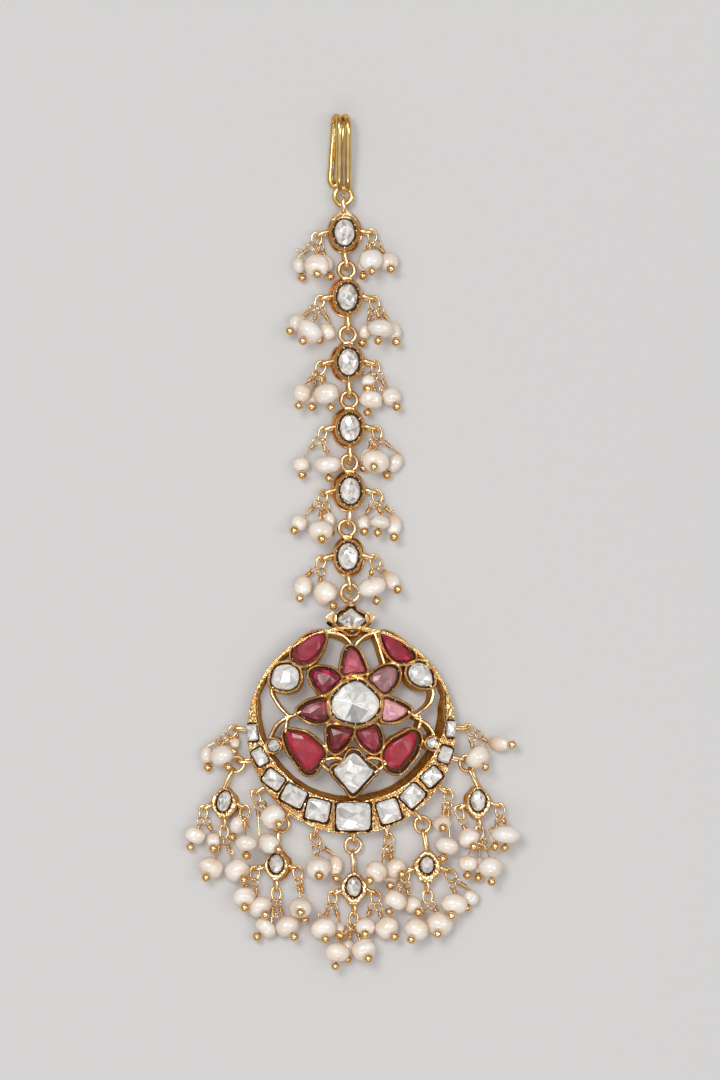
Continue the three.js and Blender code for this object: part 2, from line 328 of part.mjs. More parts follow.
// ---- pearls ----------------------------------------------------------------------------
// x, y: middle of the pearl; across, along: its size square to its pin and along it; aim: where the pin's ball end points;
// ball: distance of the ball from the pearl's middle, seen from above. The pearl listed last in a bunch lies lowest.
const PEARL_COLUMNS = ["bunch", "x", "y", "across", "along", "aim", "ball"];
const PEARLS = [
  ["link_pearls_1_left", -5.1, 39.5, 3.6, 3.3, -87, 1.3],
  ["link_pearls_1_left", -7.6, 39.5, 2.0, 2.4, -77, 1.9],
  ["link_pearls_1_left", -3.7, 39.8, 2.1, 2.6, -75, 2.1],
  ["link_pearls_1_right", 2.6, 40.2, 3.4, 3.0, -82, 1.6],
  ["link_pearls_1_right", 5.1, 40.1, 2.9, 2.9, -69, 1.2],
  ["link_pearls_1_right", 1.7, 39.8, 2.0, 2.4, -96, 1.7],
  ["link_pearls_2_left", -6.2, 30.0, 4.0, 2.9, -124, 1.6],
  ["link_pearls_2_left", -7.8, 31.4, 2.3, 2.9, -132, 1.7],
  ["link_pearls_2_left", -3.6, 30.0, 2.6, 2.1, -136, 2.5],
  ["link_pearls_2_right", 3.9, 30.4, 4.0, 2.6, -97, 1.7],
  ["link_pearls_2_right", 5.8, 30.2, 2.3, 2.9, -73, 1.7],
  ["link_pearls_2_right", 1.8, 30.0, 1.7, 2.0, -104, 1.7],
  ["link_pearls_3_left", -3.8, 21.1, 3.9, 3.0, -70, 2.1],
  ["link_pearls_3_left", -7.2, 21.2, 2.6, 2.7, -106, 1.8],
  ["link_pearls_3_left", -5.8, 20.5, 2.3, 2.3, -90, 1.2],
  ["link_pearls_3_right", 2.6, 20.3, 3.4, 2.6, -103, 1.9],
  ["link_pearls_3_right", 5.5, 20.8, 2.9, 2.7, -60, 1.7],
  ["link_pearls_3_right", 2.2, 23.0, 2.0, 2.0, -90, 1.1],
  ["link_pearls_4_left", -3.6, 11.0, 4.0, 2.7, -83, 1.9],
  ["link_pearls_4_left", -7.3, 11.0, 2.6, 2.0, -87, 1.4],
  ["link_pearls_4_right", 3.2, 11.5, 4.0, 3.3, -100, 0.8],
  ["link_pearls_4_right", 6.1, 11.2, 2.0, 2.9, -125, 2.2],
  ["link_pearls_4_right", 2.1, 12.2, 2.0, 2.3, -106, 2.1],
  ["link_pearls_5_left", -4.6, 1.6, 3.7, 3.4, -79, 1.2],
  ["link_pearls_5_left", -7.6, 2.7, 2.4, 2.4, -124, 1.3],
  ["link_pearls_5_left", -3.3, 3.1, 1.7, 2.3, -85, 1.9],
  ["link_pearls_5_right", 3.9, 2.8, 2.9, 2.0, -101, 1.5],
  ["link_pearls_5_right", 5.9, 2.4, 2.3, 3.3, -88, 1.7],
  ["link_pearls_5_right", 1.7, 2.8, 2.0, 2.6, -90, 1.3],
  ["link_pearls_6_left", -3.9, -7.3, 3.4, 3.4, -59, 2.1],
  ["link_pearls_6_left", -7.1, -6.3, 2.7, 3.1, -104, 1.8],
  ["link_pearls_6_right", 2.8, -6.5, 4.3, 2.9, -71, 2.0],
  ["link_pearls_6_right", 5.5, -5.5, 2.3, 4.0, -52, 1.6],
  ["crescent_pearls_1", -18.6, -30.6, 3.6, 2.9, -61, 1.8],
  ["crescent_pearls_1", -20.8, -30.5, 2.0, 2.4, -87, 2.4],
  ["crescent_pearls_1", -16.8, -28.7, 1.5, 2.0, -100, 1.3],
  ["crescent_pearls_2", -11.4, -39.2, 3.7, 3.1, -49, 1.4],
  ["crescent_pearls_2", -12.1, -43.0, 2.9, 3.9, -29, 1.8],
  ["crescent_pearls_3", -4.9, -46.6, 3.7, 4.0, -82, 1.0],
  ["crescent_pearls_3", -2.4, -46.2, 2.0, 2.9, -88, 1.9],
  ["crescent_pearls_4", 3.4, -47.1, 3.4, 3.0, -128, 1.5],
  ["crescent_pearls_4", 6.2, -46.6, 3.3, 2.6, -45, 1.2],
  ["crescent_pearls_4", 5.4, -48.2, 2.0, 1.6, -90, 0.9],
  ["crescent_pearls_5", 12.8, -40.2, 2.9, 4.3, -80, 0.6],
  ["crescent_pearls_5", 13.5, -43.5, 3.7, 2.7, -108, 1.8],
  ["crescent_pearls_6", 17.9, -30.8, 3.7, 2.9, -50, 1.7],
  ["crescent_pearls_6", 20.9, -28.9, 2.1, 3.6, -2, 1.9],
  ["drop_1_left", -22.5, -42.0, 3.1, 2.4, -113, 1.9],
  ["drop_1_left", -19.9, -42.6, 2.0, 2.4, -90, 1.2],
  ["drop_1_right", -16.4, -40.5, 2.4, 2.6, -113, 1.9],
  ["drop_1_right", -15.2, -43.0, 3.1, 2.4, -88, 1.9],
  ["drop_1_foot", -20.2, -46.6, 3.7, 2.7, -118, 1.5],
  ["drop_1_foot", -16.5, -46.9, 3.7, 3.1, -54, 1.7],
  ["drop_2_left", -15.5, -50.7, 3.4, 2.7, -85, 1.5],
  ["drop_2_left", -13.2, -52.2, 3.7, 2.6, -55, 1.3],
  ["drop_2_foot", -12.4, -55.2, 3.4, 2.4, -135, 1.8],
  ["drop_2_foot", -9.3, -54.9, 3.7, 2.9, -58, 1.8],
  ["drop_2_right", -7.4, -52.2, 3.6, 3.7, -90, 0.6],
  ["drop_2_right", -6.8, -52.3, 2.3, 2.3, -90, 2.0],
  ["drop_3_left", -4.1, -55.3, 4.0, 2.9, -81, 1.4],
  ["drop_3_left", -1.8, -55.2, 1.4, 2.0, -90, 1.1],
  ["drop_3_foot", -2.1, -58.6, 3.7, 2.9, -100, 2.0],
  ["drop_3_foot", 1.6, -58.2, 3.7, 3.0, -62, 1.4],
  ["drop_3_foot", -0.6, -58.0, 2.3, 2.3, -94, 2.0],
  ["drop_3_right", 4.9, -55.1, 3.6, 3.1, -50, 1.7],
  ["drop_3_right", 1.8, -55.0, 2.9, 2.9, -90, 1.0],
  ["drop_4_left", 6.1, -51.2, 3.4, 2.7, -119, 1.8],
  ["drop_4_left", 8.6, -51.9, 2.6, 2.7, -50, 1.3],
  ["drop_4_foot", 9.1, -55.3, 3.6, 3.1, -117, 1.6],
  ["drop_4_foot", 12.4, -54.6, 4.0, 3.4, -99, 1.4],
  ["drop_4_right", 14.5, -51.7, 3.9, 2.9, -102, 1.7],
  ["drop_4_right", 16.9, -50.9, 2.4, 2.0, -111, 2.4],
  ["drop_5_left", 16.6, -42.3, 3.3, 3.0, -60, 1.4],
  ["drop_5_foot", 16.5, -45.9, 2.9, 2.3, -92, 1.9],
  ["drop_5_foot", 19.7, -46.5, 3.6, 3.1, -84, 2.0],
  ["drop_5_foot", 18.1, -46.3, 2.0, 2.3, -92, 1.7],
  ["drop_5_right", 21.9, -41.8, 4.3, 2.6, -94, 2.1],
  ["drop_5_right", 20.4, -42.3, 2.0, 2.3, -90, 1.2],
].map((cells) => Object.fromEntries(PEARL_COLUMNS.map((c, i) => [c, cells[i]])));

// Each pearl sinks until it meets the table, a lower pearl or a flat piece: the later ones in a bunch first.
const DROPS = [
  { x: -18.4, y: -37.4, wide: 3.5, tall: 4.2, lean: 0.4, left: 205, right: -22, foot: 270, gem: { wide: 1.9, tall: 3.0, turn: -15 } },
  { x: -10.95, y: -46.3, wide: 3.3, tall: 4.1, lean: 0.6, left: 195, right: -12, foot: 270, gem: { wide: 2.0, tall: 2.7, turn: 0 } },
  { x: 0.2, y: -49.6, wide: 3.6, tall: 4.7, lean: 0, left: 205, right: -22, foot: 270, gem: { wide: 2.1, tall: 2.8, turn: 0 } },
  { x: 10.65, y: -46.5, wide: 3.7, tall: 4.5, lean: 0, left: 200, right: -20, foot: 272, gem: { wide: 1.9, tall: 2.4, turn: 0 } },
  { x: 18.0, y: -37.3, wide: 3.4, tall: 4.5, lean: -0.4, left: 208, right: -15, foot: 276, gem: { wide: 2.1, tall: 3.0, turn: 0 } },
];
const SETTLE = { depth: 0.84, clear: 0.06, grid: 8 };
const flat = [
  ...LINKS.map((l) => ({ x: l.x, y: l.y, a: l.wide / 2 + 0.3, b: l.tall / 2 + 0.2, top: BEZEL })),
  ...DROPS.map((d) => ({ x: d.x, y: d.y, a: d.wide / 2 + 0.2, b: d.tall / 2 + 0.1, top: BEZEL })),
  ...LINKS.slice(1).map((l) => ({ x: l.x - 0.1, y: l.y + l.tall / 2 + TOP_RING.above, a: 1.55, b: 1.6, top: MID + 0.5 })),
  ...LINKS.slice(1).map((l) => ({ x: l.x - 0.1, y: l.y + l.tall / 2 + TOP_RING.above + 0.6, a: 0.45, b: 1.6, top: MID + 1.55 })),
  ...DROPS.map((d, i) => ({ x: hangers[`drop_${i + 1}`][0], y: hangers[`drop_${i + 1}`][1] - 0.4, a: 1.4, b: 1.4, top: MID + 0.3 })),
];
function overFlat(x, y) {
  let top = 0;
  for (const f of flat) if (((x - f.x) / f.a) ** 2 + ((y - f.y) / f.b) ** 2 < 1) top = Math.max(top, f.top);
  const r = Math.hypot(x - PENDANT.x, y - PENDANT.y);
  if (r < CRESCENT.outer + 0.45) top = Math.max(top, PENDANT.rim);
  return top;
}
const placed = [];
const rise = (p) => Math.acos(Math.min(1, p.ball / (p.along / 2 + 0.8 * BALL))); // how steeply the pin's ball end points up
const ellipsoid = (p) => {
  const t = (p.aim + 90) * RAD, up = rise(p);
  const h = Math.hypot((p.along / 2) * Math.sin(up), (p.across / 2) * SETTLE.depth * Math.cos(up));
  return { x: p.x, y: p.y, c: Math.cos(t), s: Math.sin(t), a: p.across / 2, b: p.along / 2, h };
};
function share(e, x, y) {
  const u = (x - e.x) * e.c + (y - e.y) * e.s, v = -(x - e.x) * e.s + (y - e.y) * e.c;
  return (u / e.a) ** 2 + (v / e.b) ** 2;
}
const layers = new Map();
for (const p of PEARLS) {
  const bunch = layers.get(p.bunch) ?? layers.set(p.bunch, []).get(p.bunch);
  p.layer = bunch.push(p);
}
for (const p of [...PEARLS].sort((a, b) => b.layer - a.layer)) {
  const e = ellipsoid(p);
  let z = e.h + 0.12;
  const reach = Math.max(e.a, e.b);
  for (let i = -SETTLE.grid; i <= SETTLE.grid; i++)
    for (let j = -SETTLE.grid; j <= SETTLE.grid; j++) {
      const x = e.x + (i / SETTLE.grid) * reach, y = e.y + (j / SETTLE.grid) * reach;
      const mine = share(e, x, y);
      if (mine >= 1) continue;
      const under = e.h * Math.sqrt(1 - mine);
      z = Math.max(z, overFlat(x, y) + under + SETTLE.clear);
      for (const q of placed) {
        const theirs = share(q.e, x, y);
        if (theirs < 1) z = Math.max(z, q.p.z + q.e.h * Math.sqrt(1 - theirs) + under + SETTLE.clear);
      }
    }
  p.z = z;
  placed.push({ p, e });
}
// Pearl, ball and the pin's stub as one turned shape, then the pin up to its jump ring.
function pearl(p, hold) {
  const a = p.across / 2, b = p.along / 2;
  const up = rise(p);
  const axis = new THREE.Vector3(Math.cos(up) * Math.cos(p.aim * RAD), Math.cos(up) * Math.sin(p.aim * RAD), Math.sin(up));
  const across = new THREE.Vector3(-Math.sin(p.aim * RAD), Math.cos(p.aim * RAD), 0);
  const profile = [
    [0, -1], [0.96, -0.45], [0.96, 0.45],
  ].map(([r, t]) => new THREE.Vector2(r * a, t * b));
  profile.push(new THREE.Vector2(0.25, b * 0.98), new THREE.Vector2(BALL, b + 0.8 * BALL), new THREE.Vector2(0, b + 1.7 * BALL));
  const turned = new THREE.LatheGeometry(profile, 6);
  turned.scale(1, 1, SETTLE.depth); // the lathe's axis is Y
  const third = new THREE.Vector3().crossVectors(across, axis);
  turned.applyMatrix4(new THREE.Matrix4().makeBasis(across, axis, third).setPosition(p.x, p.y, p.z));
  const back = new THREE.Vector3(p.x, p.y, p.z).addScaledVector(axis, -b * 0.8);
  back.z = Math.max(back.z, 0.35);
  return [solid(turned), solid(rod(back.toArray(), hold, WIRE.pin, 3))];
}
// A bunch: its jump ring, hung from an eye's end, and the pearls pinned to the ring's lower half.
function bunch(name, end, fused) {
  const pearls = layers.get(name);
  const middle = pearls.reduce((m, p) => [m[0] + p.x / pearls.length, m[1] + p.y / pearls.length], [0, 0]);
  const way = Math.atan2(middle[1] - end[1], middle[0] - end[0]);
  const hang = fused ? JUMP.radius - WIRE.eye - WIRE.jump + 0.12 : JUMP.hang;
  const centre = [end[0] + Math.cos(way) * hang, end[1] + Math.sin(way) * hang, end[2]];
  const bodies = [solid(torus(JUMP.radius, WIRE.jump, centre, [0, 0, 1], 3, 8))];
  for (const p of pearls) {
    const a = way + Math.max(-0.9, Math.min(0.9, Math.atan2(Math.sin(Math.atan2(p.y - centre[1], p.x - centre[0]) - way), Math.cos(Math.atan2(p.y - centre[1], p.x - centre[0]) - way))));
    bodies.push(...pearl(p, [centre[0] + Math.cos(a) * JUMP.radius, centre[1] + Math.sin(a) * JUMP.radius, centre[2]]));
  }
  return bodies;
}
for (const [name, end] of Object.entries(bunchEyes)) add(name, geometryOf(join(bunch(name, end, false))), PEARL);

// ---- drops ------------------------------------------------------------------------------
const DROP_RING = { radius: 1.12, inside: 0.42 };
DROPS.forEach((drop, i) => {
  const end = hangers[`drop_${i + 1}`];
  const { x, y, wide, tall, lean, gem } = drop;
  const way = Math.atan2(y + tall / 2 - end[1], x - end[0]);
  const u = [Math.cos(way), Math.sin(way)];
  const ring = [end[0] + u[0] * DROP_RING.inside, end[1] + u[1] * DROP_RING.inside, MID];
  const upper = [ring[0] + u[0] * 0.76, ring[1] + u[1] * 0.76];
  // The drop's top eye reaches from its bezel up into the jump ring, which rests against it.
  const away = [upper[0] - x, upper[1] - (y + tall / 2)];
  const length = Math.hypot(...away), bearing = Math.atan2(away[1], away[0]) / RAD;
  const row = { x, y, wide, tall, power: 2, lobes: 4, depth: 0.05 };
  const gemRow = { x, y: y + 0.3, ...gem };
  const bodies = [
    bezel(row, lean, gemRow),
    ...eye([x, y + tall / 2 - 0.05], bearing, WIRE.eye, 0.68, Math.max(0.1, length - 1.36)).bodies,
    solid(torus(DROP_RING.radius, WIRE.drop, ring, [0, 0, 1], 4, 11)),
  ];
  for (const [side, at] of [["left", [x - wide / 2 + 0.1, y - 0.1]], ["right", [x + wide / 2 - 0.1, y - 0.1]], ["foot", [x, y - tall / 2 + 0.1]]]) {
    const e = eye(at, drop[side], WIRE.eye, 0.6, 0.3);
    bodies.push(...e.bodies, ...bunch(`drop_${i + 1}_${side}`, e.end, true));
  }
  add(`drop_${i + 1}`, geometryOf(join(bodies)), GOLD);
  add(`drop_stone_${i + 1}`, gemstone(gemRow, lean, 0.22), DIAMOND);
});

// Origin: middle of the footprint, on the table.
const box = new THREE.Box3().setFromObject(part);
part.position.set(-(box.min.x + box.max.x) / 2, -(box.min.y + box.max.y) / 2, -box.min.z);
export default part;
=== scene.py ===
import math
import random

import bmesh
import bpy
import numpy as np
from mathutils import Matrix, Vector


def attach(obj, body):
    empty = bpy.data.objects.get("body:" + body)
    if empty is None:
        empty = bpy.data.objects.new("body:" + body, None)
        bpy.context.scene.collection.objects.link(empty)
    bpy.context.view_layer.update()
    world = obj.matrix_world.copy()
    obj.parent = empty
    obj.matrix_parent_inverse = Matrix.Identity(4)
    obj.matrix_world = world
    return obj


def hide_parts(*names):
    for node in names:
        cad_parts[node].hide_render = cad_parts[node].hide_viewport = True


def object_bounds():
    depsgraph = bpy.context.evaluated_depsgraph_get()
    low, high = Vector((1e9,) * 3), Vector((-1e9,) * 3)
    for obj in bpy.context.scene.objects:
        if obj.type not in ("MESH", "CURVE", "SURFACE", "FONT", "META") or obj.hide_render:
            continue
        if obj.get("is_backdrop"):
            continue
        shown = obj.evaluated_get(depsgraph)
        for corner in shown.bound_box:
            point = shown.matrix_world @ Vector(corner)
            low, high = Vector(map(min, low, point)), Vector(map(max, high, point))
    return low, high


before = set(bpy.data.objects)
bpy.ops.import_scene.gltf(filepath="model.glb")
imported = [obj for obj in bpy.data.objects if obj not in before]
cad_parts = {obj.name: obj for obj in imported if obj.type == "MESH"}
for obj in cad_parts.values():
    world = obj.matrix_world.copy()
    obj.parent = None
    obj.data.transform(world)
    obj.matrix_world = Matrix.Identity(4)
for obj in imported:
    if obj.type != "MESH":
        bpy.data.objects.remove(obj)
CAD_BOX = [[float(c) for c in corner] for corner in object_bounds()]

MM = 0.001
SHIFT = np.array([0.087, -0.013, 0.0])  # the plan's origin to the frame's, in mm
RAD = math.pi / 180

# ---- dimensions, in mm ---------------------------------------------------------
BEZEL = 2.2
MID = 1.2
BALL = 0.66
HOOK_WIRE, HOOK_RING_WIRE, LINK_WIRE, BAIL_WIRE, EYE_WIRE, JUMP_WIRE, DROP_WIRE, PIN_WIRE = 0.47, 0.38, 0.3, 0.38, 0.34, 0.16, 0.25, 0.12
PX, PY, RIM, LIFT, REACH, FLOOR, FLARE, LEAN = -0.15, -26.9, 2.8, 1.7, 15.2, 0.8, 0.068, -0.3
OUTER, INNER, INNER_Y, BAND = 14.95, 13.5, -23.45, 0.62
JUMP_R, JUMP_HANG = 0.98, 0.38


def table(columns, rows):
    return [dict(zip(columns.split(), row)) for row in rows]


# ---- mesh building ---------------------------------------------------------------
class Shape:
    """Vertices in mm with faces. dark is a value for each vertex, painted shade with some patina in the recesses; tint
    a colour for each face, which on stones and pearls also paints reflections, glints and shade.
    """

    def __init__(self):
        self.v, self.f, self.dark, self.tint, self.flat, self.n = [], [], [], [], [], 0

    def add(self, verts, faces, dark=0.0, tint=(1, 1, 1), flat=False):
        verts = np.asarray(verts, float)
        self.v.append(verts)
        self.dark.append(np.broadcast_to(np.asarray(dark, float), (len(verts),)).copy())
        t = np.asarray(tint, float)
        self.tint.append(np.broadcast_to(t, (len(faces), 3)).copy() if t.ndim == 1 else t)
        self.f += [[int(i) + self.n for i in f] for f in faces]
        self.flat += [flat] * len(faces)
        self.n += len(verts)


def unit(a):
    a = np.asarray(a, float)
    return a / max(1e-9, np.linalg.norm(a))


def make(name, shape, material, slot, *nodes, crease=42):
    mesh = bpy.data.meshes.new(name)
    mesh.from_pydata(((np.vstack(shape.v) + SHIFT) * MM).tolist(), [], shape.f)
    mesh.polygons.foreach_set("use_smooth", [not x for x in shape.flat])
    mesh.attributes.new("dark", "FLOAT", "POINT").data.foreach_set("value", np.concatenate(shape.dark).astype(np.float32))
    colours = np.repeat(np.vstack(shape.tint), [len(f) for f in shape.f], axis=0)
    rgba = np.column_stack([colours, np.ones(len(colours))]).astype(np.float32)
    mesh.attributes.new("tint", "FLOAT_COLOR", "CORNER").data.foreach_set("color", rgba.ravel())
    if crease:
        mesh.set_sharp_from_angle(angle=crease * RAD)
    mesh.update()
    obj = bpy.data.objects.new(name, mesh)
    bpy.context.scene.collection.objects.link(obj)
    mesh.materials.append(material)
    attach(obj, "root")
    if nodes:
        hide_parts(*nodes)
    return obj


def tube(shape, path, radius, closed=False, sides=9, dark=0.0, oval=1.0, rough=0.0, seed=0):
    p = np.asarray(path, float)
    n = len(p)
    t = np.roll(p, -1, 0) - np.roll(p, 1, 0) if closed else np.gradient(p, axis=0)
    t /= np.maximum(1e-9, np.linalg.norm(t, axis=1))[:, None]
    r = np.broadcast_to(np.asarray(radius, float), (n,)).copy()
    if rough:
        rng = random.Random(seed)
        ph = [rng.random() * 6.28 for _ in range(3)]
        i = np.arange(n) / n * 2 * math.pi
        r *= 1 + rough * (np.sin(2 * i + ph[0]) + 0.7 * np.sin(5 * i + ph[1]) + 0.5 * np.sin(11 * i + ph[2])) / 2
    if not closed:
        first, last = [], []
        for k in (1.0, 0.75):
            s = math.sqrt(max(0, 1 - k * k))
            first.append((p[0] - t[0] * r[0] * k, r[0] * max(s, 0.12)))
            last.insert(0, (p[-1] + t[-1] * r[-1] * k, r[-1] * max(s, 0.12)))
        p = np.vstack([[q for q, _ in first], p, [q for q, _ in last]])
        r = np.concatenate([[q for _, q in first], r, [q for _, q in last]])
        t = np.vstack([[t[0]] * 2, t, [t[-1]] * 2])
        n = len(p)
    u = np.array([0, 0, 1.0]) if abs(t[0][2]) < 0.9 else np.array([1.0, 0, 0])
    verts = []
    a = np.arange(sides) / sides * 2 * math.pi
    for i in range(n):
        u = unit(u - t[i] * u.dot(t[i]))
        w = np.cross(t[i], u)
        verts.append(p[i] + r[i] * (np.cos(a)[:, None] * u * oval + np.sin(a)[:, None] * w))
    verts = np.vstack(verts)
    faces = []
    for i in range(n if closed else n - 1):
        k = (i + 1) % n
        for j in range(sides):
            m = (j + 1) % sides
            faces.append([i * sides + j, i * sides + m, k * sides + m, k * sides + j])
    if not closed:
        faces.append(list(range(sides))[::-1])
        faces.append([(n - 1) * sides + j for j in range(sides)])
    shape.add(verts, faces, dark)


def smooth(points, per=8, closed=False):
    p = np.asarray(points, float)
    n = len(p)
    out = []
    for i in range(n if closed else n - 1):
        a, b, c, d = (p[(i + k) % n] if closed else p[min(max(i + k, 0), n - 1)] for k in (-1, 0, 1, 2))
        for s in range(per):
            t = s / per
            out.append(0.5 * (2 * b + (c - a) * t + (2 * a - 5 * b + 4 * c - d) * t * t + (3 * b - a - 3 * c + d) * t ** 3))
    if not closed:
        out.append(p[-1])
    return np.array(out)


def loop(shape, centre, radius, wire, a=(1, 0, 0), b=(0, 1, 0), steps=30, sides=9, long=1.0, turn=0.0, rough=0.04, dark=0.0, seed=0):
    """Ring in the plane of a and b, long times as far along b."""
    a, b = unit(a), unit(b)
    t = np.arange(steps) / steps * 2 * math.pi + turn
    path = np.asarray(centre, float) + radius * (np.cos(t)[:, None] * a + long * np.sin(t)[:, None] * b)
    tube(shape, path, wire, True, sides, rough=rough, dark=dark, seed=seed)


def eye(shape, at, bearing, wire=EYE_WIRE, radius=0.68, stem=0.45, z=MID, root=0.2, tilt=16, seed=0):
    """Long loop standing on edge, its near end buried in the wall. Returns the middle of the wire at the far end."""
    u = np.array([math.cos(bearing * RAD), math.sin(bearing * RAD), 0])
    side = np.array([-u[1], u[0], 0])
    up = math.cos(tilt * RAD) * np.array([0, 0, 1.0]) + math.sin(tilt * RAD) * side
    t = np.arange(28) / 28 * 2 * math.pi
    x = radius * np.cos(t)
    x = radius + np.where(x > 0.01, x + stem, np.where(x < -0.01, x - root, x + (stem - root) / 2))
    path = np.array([at[0], at[1], z]) + x[:, None] * u + (0.8 * radius * np.sin(t))[:, None] * up
    tube(shape, path, wire, True, 9, rough=0.08, seed=seed)
    return [at[0] + u[0] * (stem + 2 * radius), at[1] + u[1] * (stem + 2 * radius), z]


# ---- outlines --------------------------------------------------------------------
def rounded(x, y, wide, tall, turn=0, power=2.0, lobes=0, depth=0.0, count=96):
    a = np.arange(count) / count * 2 * math.pi
    if power > 4:
        a = a + 0.2 * np.sin(4 * a)
    c, s = np.cos(a), np.sin(a)
    r = (1 + depth * np.cos(lobes * (a - math.pi / 2))) / (np.abs(c) ** power + np.abs(s) ** power) ** (1 / power)
    px, py, t = wide / 2 * r * c, tall / 2 * r * s, turn * RAD
    return np.column_stack([x + px * math.cos(t) - py * math.sin(t), y + px * math.sin(t) + py * math.cos(t)])


def petal(x, y, long, wide, turn, tip, base, bow=0.0, count=96):
    peak = (base - tip) / (base + tip)
    top = (1 - peak) ** tip * (1 + peak) ** base
    half = count // 2
    s = -np.cos(math.pi * np.arange(half + 1) / half)
    w = (np.maximum(0, 1 - s) ** tip * np.maximum(0, 1 + s) ** base) / top
    lower = np.column_stack([s * long / 2, -w * wide / 2 + bow * (1 - s * s)])
    upper = np.column_stack([s * long / 2, w * wide / 2 + bow * (1 - s * s)])[::-1]
    p, t = np.vstack([lower[:-1], upper[:-1]]), turn * RAD
    p = np.column_stack([x + p[:, 0] * math.cos(t) - p[:, 1] * math.sin(t), y + p[:, 0] * math.sin(t) + p[:, 1] * math.cos(t)])
    return even(p, count)


def even(p, count):
    """The same closed line with its points evenly spaced and its corners slightly rounded."""
    q = np.vstack([p, p[:1]])
    d = np.concatenate([[0], np.cumsum(np.linalg.norm(np.diff(q, axis=0), axis=1))])
    s = np.linspace(0, d[-1], count, endpoint=False)
    p = np.column_stack([np.interp(s, d, q[:, k]) for k in (0, 1)])
    for _ in range(2):
        p = (np.roll(p, 1, 0) + 2 * p + np.roll(p, -1, 0)) / 4
    return p


def normals(p):
    t = np.roll(p, -2, 0) - np.roll(p, 2, 0)
    t /= np.maximum(1e-9, np.linalg.norm(t, axis=1))[:, None]
    return np.column_stack([t[:, 1], -t[:, 0]])


def wobble(n, seed, size, waves=(2, 3, 5, 8, 13)):
    rng = random.Random(seed)
    i = np.arange(n) / n * 2 * math.pi
    return size * sum(np.sin(k * i + rng.random() * 6.28) * rng.uniform(0.4, 1.0) for k in waves) / math.sqrt(len(waves))


def plain(v):
    return v


def dome(v):
    v = np.array(v, float)
    x, y, h = v[:, 0].copy(), v[:, 1].copy(), v[:, 2].copy()
    share = np.minimum(1, ((x - PX) ** 2 + (y - PY) ** 2) / REACH ** 2)
    deep = np.maximum(0, (RIM - h) / RIM)
    v[:, 0] = PX + (x - PX) * (1 - FLARE * deep) + LEAN * deep
    v[:, 1] = PY + (y - PY) * (1 - FLARE * deep)
    v[:, 2] = np.where(h < 0.01, 0, h + LIFT * (1 - share))
    return v


def skew(lean):
    def warp(v):
        v = np.array(v, float)
        v[:, 0] += lean * (1 - v[:, 2] / BEZEL)
        return v
    return warp


def shell(shape, outline, profile, warp=plain):
    """Turns a profile of (offset from the outline, height, darkness) round the outline, closed in the middle above and below."""
    n, nor = len(outline), normals(outline)
    rings, dark = [], []
    for off, z, dk in profile:
        xy = outline + nor * np.broadcast_to(np.asarray(off, float), (n,))[:, None]
        rings.append(np.column_stack([xy, np.broadcast_to(np.asarray(z, float), (n,))]))
        dark.append(np.broadcast_to(np.asarray(dk, float), (n,)))
    ends = [np.array([*rings[k][:, :2].mean(0), rings[k][:, 2].mean()]) for k in (0, -1)]
    faces, m = [], len(rings)
    for k in range(m - 1):
        for i in range(n):
            j = (i + 1) % n
            faces.append([k * n + i, (k + 1) * n + i, (k + 1) * n + j, k * n + j])
    for i in range(n):
        j = (i + 1) % n
        faces.append([m * n, i, j])
        faces.append([m * n + 1, (m - 1) * n + j, (m - 1) * n + i])
    shape.add(warp(np.vstack(rings + [ends[0][None], ends[1][None]])), faces, np.concatenate(dark + [[dark[0].mean()], [dark[-1].mean()]]))


def margin(outline, edge, more=0.0, side=0.0):
    """Width of the dark margin at each point of the outline, wider towards one side."""
    nor = normals(outline)
    toward = nor @ np.array([math.cos(side * RAD), math.sin(side * RAD)])
    m = edge * (1 + more * np.maximum(-0.4, toward))
    for _ in range(4):
        m = (np.roll(m, 1) + 2 * m + np.roll(m, -1)) / 4
    return m


def setting(shape, outline, edge, wall, top, pocket, foot, seed, warp=plain, lobed=0.05, worn=1.0):
    """Cell of a stone: recess round the stone painted dark as shade with some patina, uneven pinched rim, and a wall
    down to the foot painted darker as shade.
    """
    n = len(outline)
    inner = edge + wobble(n, seed, lobed, (5, 7, 9, 13, 19)) * worn
    high = top + wobble(n, seed + 1, 0.03, (3, 5, 8, 12)) * worn
    wide = wall + wobble(n, seed + 2, 0.035, (3, 5, 8, 11)) * worn
    shell(shape, outline, [
        (-0.3, top - pocket, 1.0),
        (inner * 0.85, top - pocket, 1.0),
        (inner - 0.02, top - 0.22, 0.95),
        (inner + 0.03, high - 0.05, 0.45),
        (inner + wide * 0.2, high + 0.04, 0.0),
        (inner + wide * 0.5, high + 0.12, 0.0),
        (inner + wide * 0.8, high + 0.01, 0.0),
        (inner + wide, high - 0.16, 0.04),
        (inner + wide, high - 0.5, 0.22),
        (inner + wide, (top + foot) / 2, 0.26),
        (inner + wide - 0.03, foot + 0.08, 0.3),
        (inner + wide - 0.1, foot, 0.2),
        (inner + wide - 0.4, foot, 0.2),
    ], warp)


# ---- stones -----------------------------------------------------------------------
def hull(points):
    bm = bmesh.new()
    for p in points:
        bm.verts.new([float(c) for c in p])
    got = bmesh.ops.convex_hull(bm, input=list(bm.verts))
    drop = [g for g in got["geom_interior"] + got["geom_unused"] if isinstance(g, bmesh.types.BMVert)]
    bmesh.ops.delete(bm, geom=list(set(drop)), context="VERTS")
    bmesh.ops.recalc_face_normals(bm, faces=bm.faces)
    bm.verts.index_update()
    verts = np.array([v.co for v in bm.verts])
    faces = [[v.index for v in f.verts] for f in bm.faces]
    bm.free()
    return verts, faces


